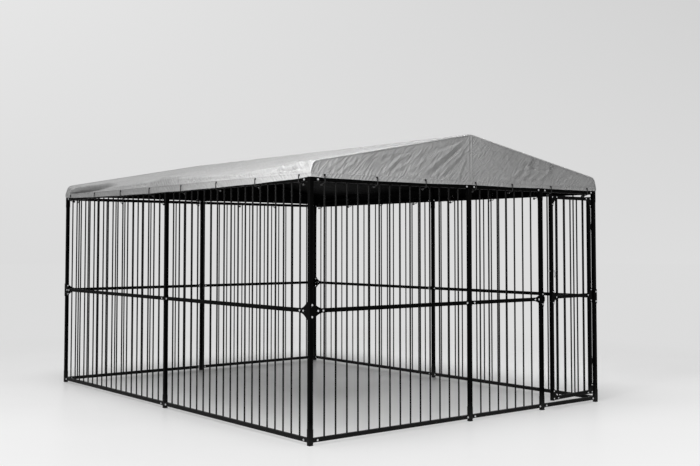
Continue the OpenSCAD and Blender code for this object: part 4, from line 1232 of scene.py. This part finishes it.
# %% Floor finish
FRONT_PAINTED_LIGHT = 0.90
FRONTWARD = (-0.625, -0.780, 0.0)
SHADE_CENTRE = (0.9, 1.2, 0.0)
SHADE_HALF = (1.0, 1.3, 0.0)
SHADE_FADE = 4.3
ORIGIN = (0.0, 0.0, 0.0)
FLOOR_TONES = [(0.3, 0.87), (0.7, 0.92)]


def out_of_shade(finish):
    """0 in the shaded box, rising to 1 at some metres from it."""
    reach = coordinates(finish)
    steps = (("SUBTRACT", SHADE_CENTRE), ("ABSOLUTE", None),
             ("SUBTRACT", SHADE_HALF), ("MAXIMUM", ORIGIN))
    for operation, value in steps:
        reach = vector_step(finish, operation, reach, value)["Vector"]
    distance = vector_step(finish, "LENGTH", reach)["Value"]
    return span(finish, distance, high=SHADE_FADE)


def painted_floor_light(finish):
    """Painted light: the front tone in front of the run, and the background's behind it and far away."""
    place = coordinates(finish)
    frontward = vector_step(finish, "DOT_PRODUCT", place, FRONTWARD)["Value"]
    front = span(finish, frontward, low=-1.4, high=1.9)
    distance = vector_step(finish, "LENGTH", place)["Value"]
    nearby = span(finish, distance, low=7.0, high=26.0, at_low=1.0, at_high=0.0, soft=True)
    lit = compute(finish, "MULTIPLY", front, nearby)
    return span(finish, lit, at_low=BACKGROUND_TONE, at_high=FRONT_PAINTED_LIGHT)


def make_floor_finish():
    """A pale scuffed floor, with a painted glow where it is seen away from the shaded box."""
    finish, shader = start_finish("studio_floor", specular=0.35)
    scuffs = lumps(finish, per_metre=0.9, detail=6.0)
    join(finish, tone_ramp(finish, scuffs, FLOOR_TONES), shader.inputs["Base Color"])
    join(finish, span(finish, scuffs, at_low=0.26, at_high=0.42), shader.inputs["Roughness"])
    # The glow is painted light: a bright pool in front that also fades out the run's shadow away from
    # the box.
    painted_glow = add_node(finish, "Emission", Color=WHITE)
    join(finish, painted_floor_light(finish), painted_glow.inputs["Strength"])
    share = compute(finish, "MULTIPLY", out_of_shade(finish), seen_directly(finish))
    surface = choose(finish, share, shader.outputs["BSDF"], painted_glow.outputs["Emission"])
    join(finish, surface, finish.node_tree.nodes["Material Output"].inputs["Surface"])
    return finish


floor_finish = make_floor_finish()
print("finish:", floor_finish.name)

# %% Floor
FLOOR_RADIUS = 60.0
FLOOR_SIDES = 96
bpy.ops.object.select_all(action="DESELECT")
bpy.ops.mesh.primitive_circle_add(vertices=FLOOR_SIDES, radius=FLOOR_RADIUS, fill_type="NGON",
                                  location=ORIGIN)
floor = bpy.context.object
floor.name = "studio_floor"
floor.data.materials.append(floor_finish)
print("floor radius", FLOOR_RADIUS)

# %% [markdown]
# ## The world
# The world lights the run softly from all sides, as pale walls do, and needs no geometry. Where it is
# seen past the floor it shows a plain wall with painted light: the floor's far tone at eye level, and
# higher up lighter to the left and darker to the right.

# %% World
FILL = 0.32
LEFTWARD = (-0.78, 0.62, 0.0)
WALL_LIGHT_SWING = 0.12
WALL_REACH = 0.12


def painted_wall_light(world):
    """The wall's tone in each direction, with painted light: lighter to the left and darker to the
    right, higher up.
    """
    direction = coordinates(world)
    leftward = vector_step(world, "DOT_PRODUCT", direction, LEFTWARD)["Value"]
    both = compute(world, "MULTIPLY", split(world, direction)["Z"], leftward)
    # Painted light on the wall: lighter to the left, darker to the right.
    return span(world, both, low=-WALL_REACH, high=WALL_REACH,
                at_low=BACKGROUND_TONE - WALL_LIGHT_SWING, at_high=BACKGROUND_TONE + WALL_LIGHT_SWING)


def make_world():
    """Soft light from all sides, and a wall with painted light where it is seen."""
    world = bpy.data.worlds.new("studio")
    world.use_nodes = True
    world.node_tree.nodes.clear()
    fill = add_node(world, "Background", Color=WHITE, Strength=FILL)
    wall = add_node(world, "Background", Color=WHITE)
    join(world, painted_wall_light(world), wall.inputs["Strength"])
    either = choose(world, seen_directly(world), fill.outputs["Background"], wall.outputs["Background"])
    join(world, either, add_node(world, "OutputWorld").inputs["Surface"])
    return world


bpy.context.scene.world = make_world()
print("world:", bpy.context.scene.world.name)

# %% [markdown]
# ## The lamps
# A wide lamp hangs high over the run, so its shadows are soft. A small one off the front left corner
# picks out the near corner of the roof and rakes across the gable, which shows the folds. A sun lamp
# would give hard shadows, so both are area lamps. The small one's narrow spread keeps its light off
# the floor, as a grid does.

# %% Lamps
def add_lamp(name, place, aim, size, watts, spread=180.0):
    """A square lamp that faces the point aim, its light kept to spread degrees."""
    bpy.ops.object.select_all(action="DESELECT")
    bpy.ops.object.light_add(type="AREA", location=place)
    lamp = bpy.context.object
    lamp.name = name
    lamp.data.shape = "SQUARE"
    lamp.data.size = size
    lamp.data.energy = watts
    lamp.data.spread = math.radians(spread)
    lamp.rotation_mode = "QUATERNION"
    lamp.rotation_quaternion = (Vector(aim) - Vector(place)).to_track_quat("-Z", "Y")
    return lamp


lamps = [
    add_lamp("overhead_softbox", (-2.5, -1.5, 14.0), aim=(-0.5, -0.8, 1.0), size=7.0, watts=1340.0),
    add_lamp("left_softbox", (-5.2, -3.4, 3.1), aim=(-1.35, -1.75, 2.05), size=1.2, watts=20.0,
             spread=44.0),
]
bpy.context.scene.view_settings.view_transform = "Standard"
print("lamps:", [lamp.name for lamp in lamps])
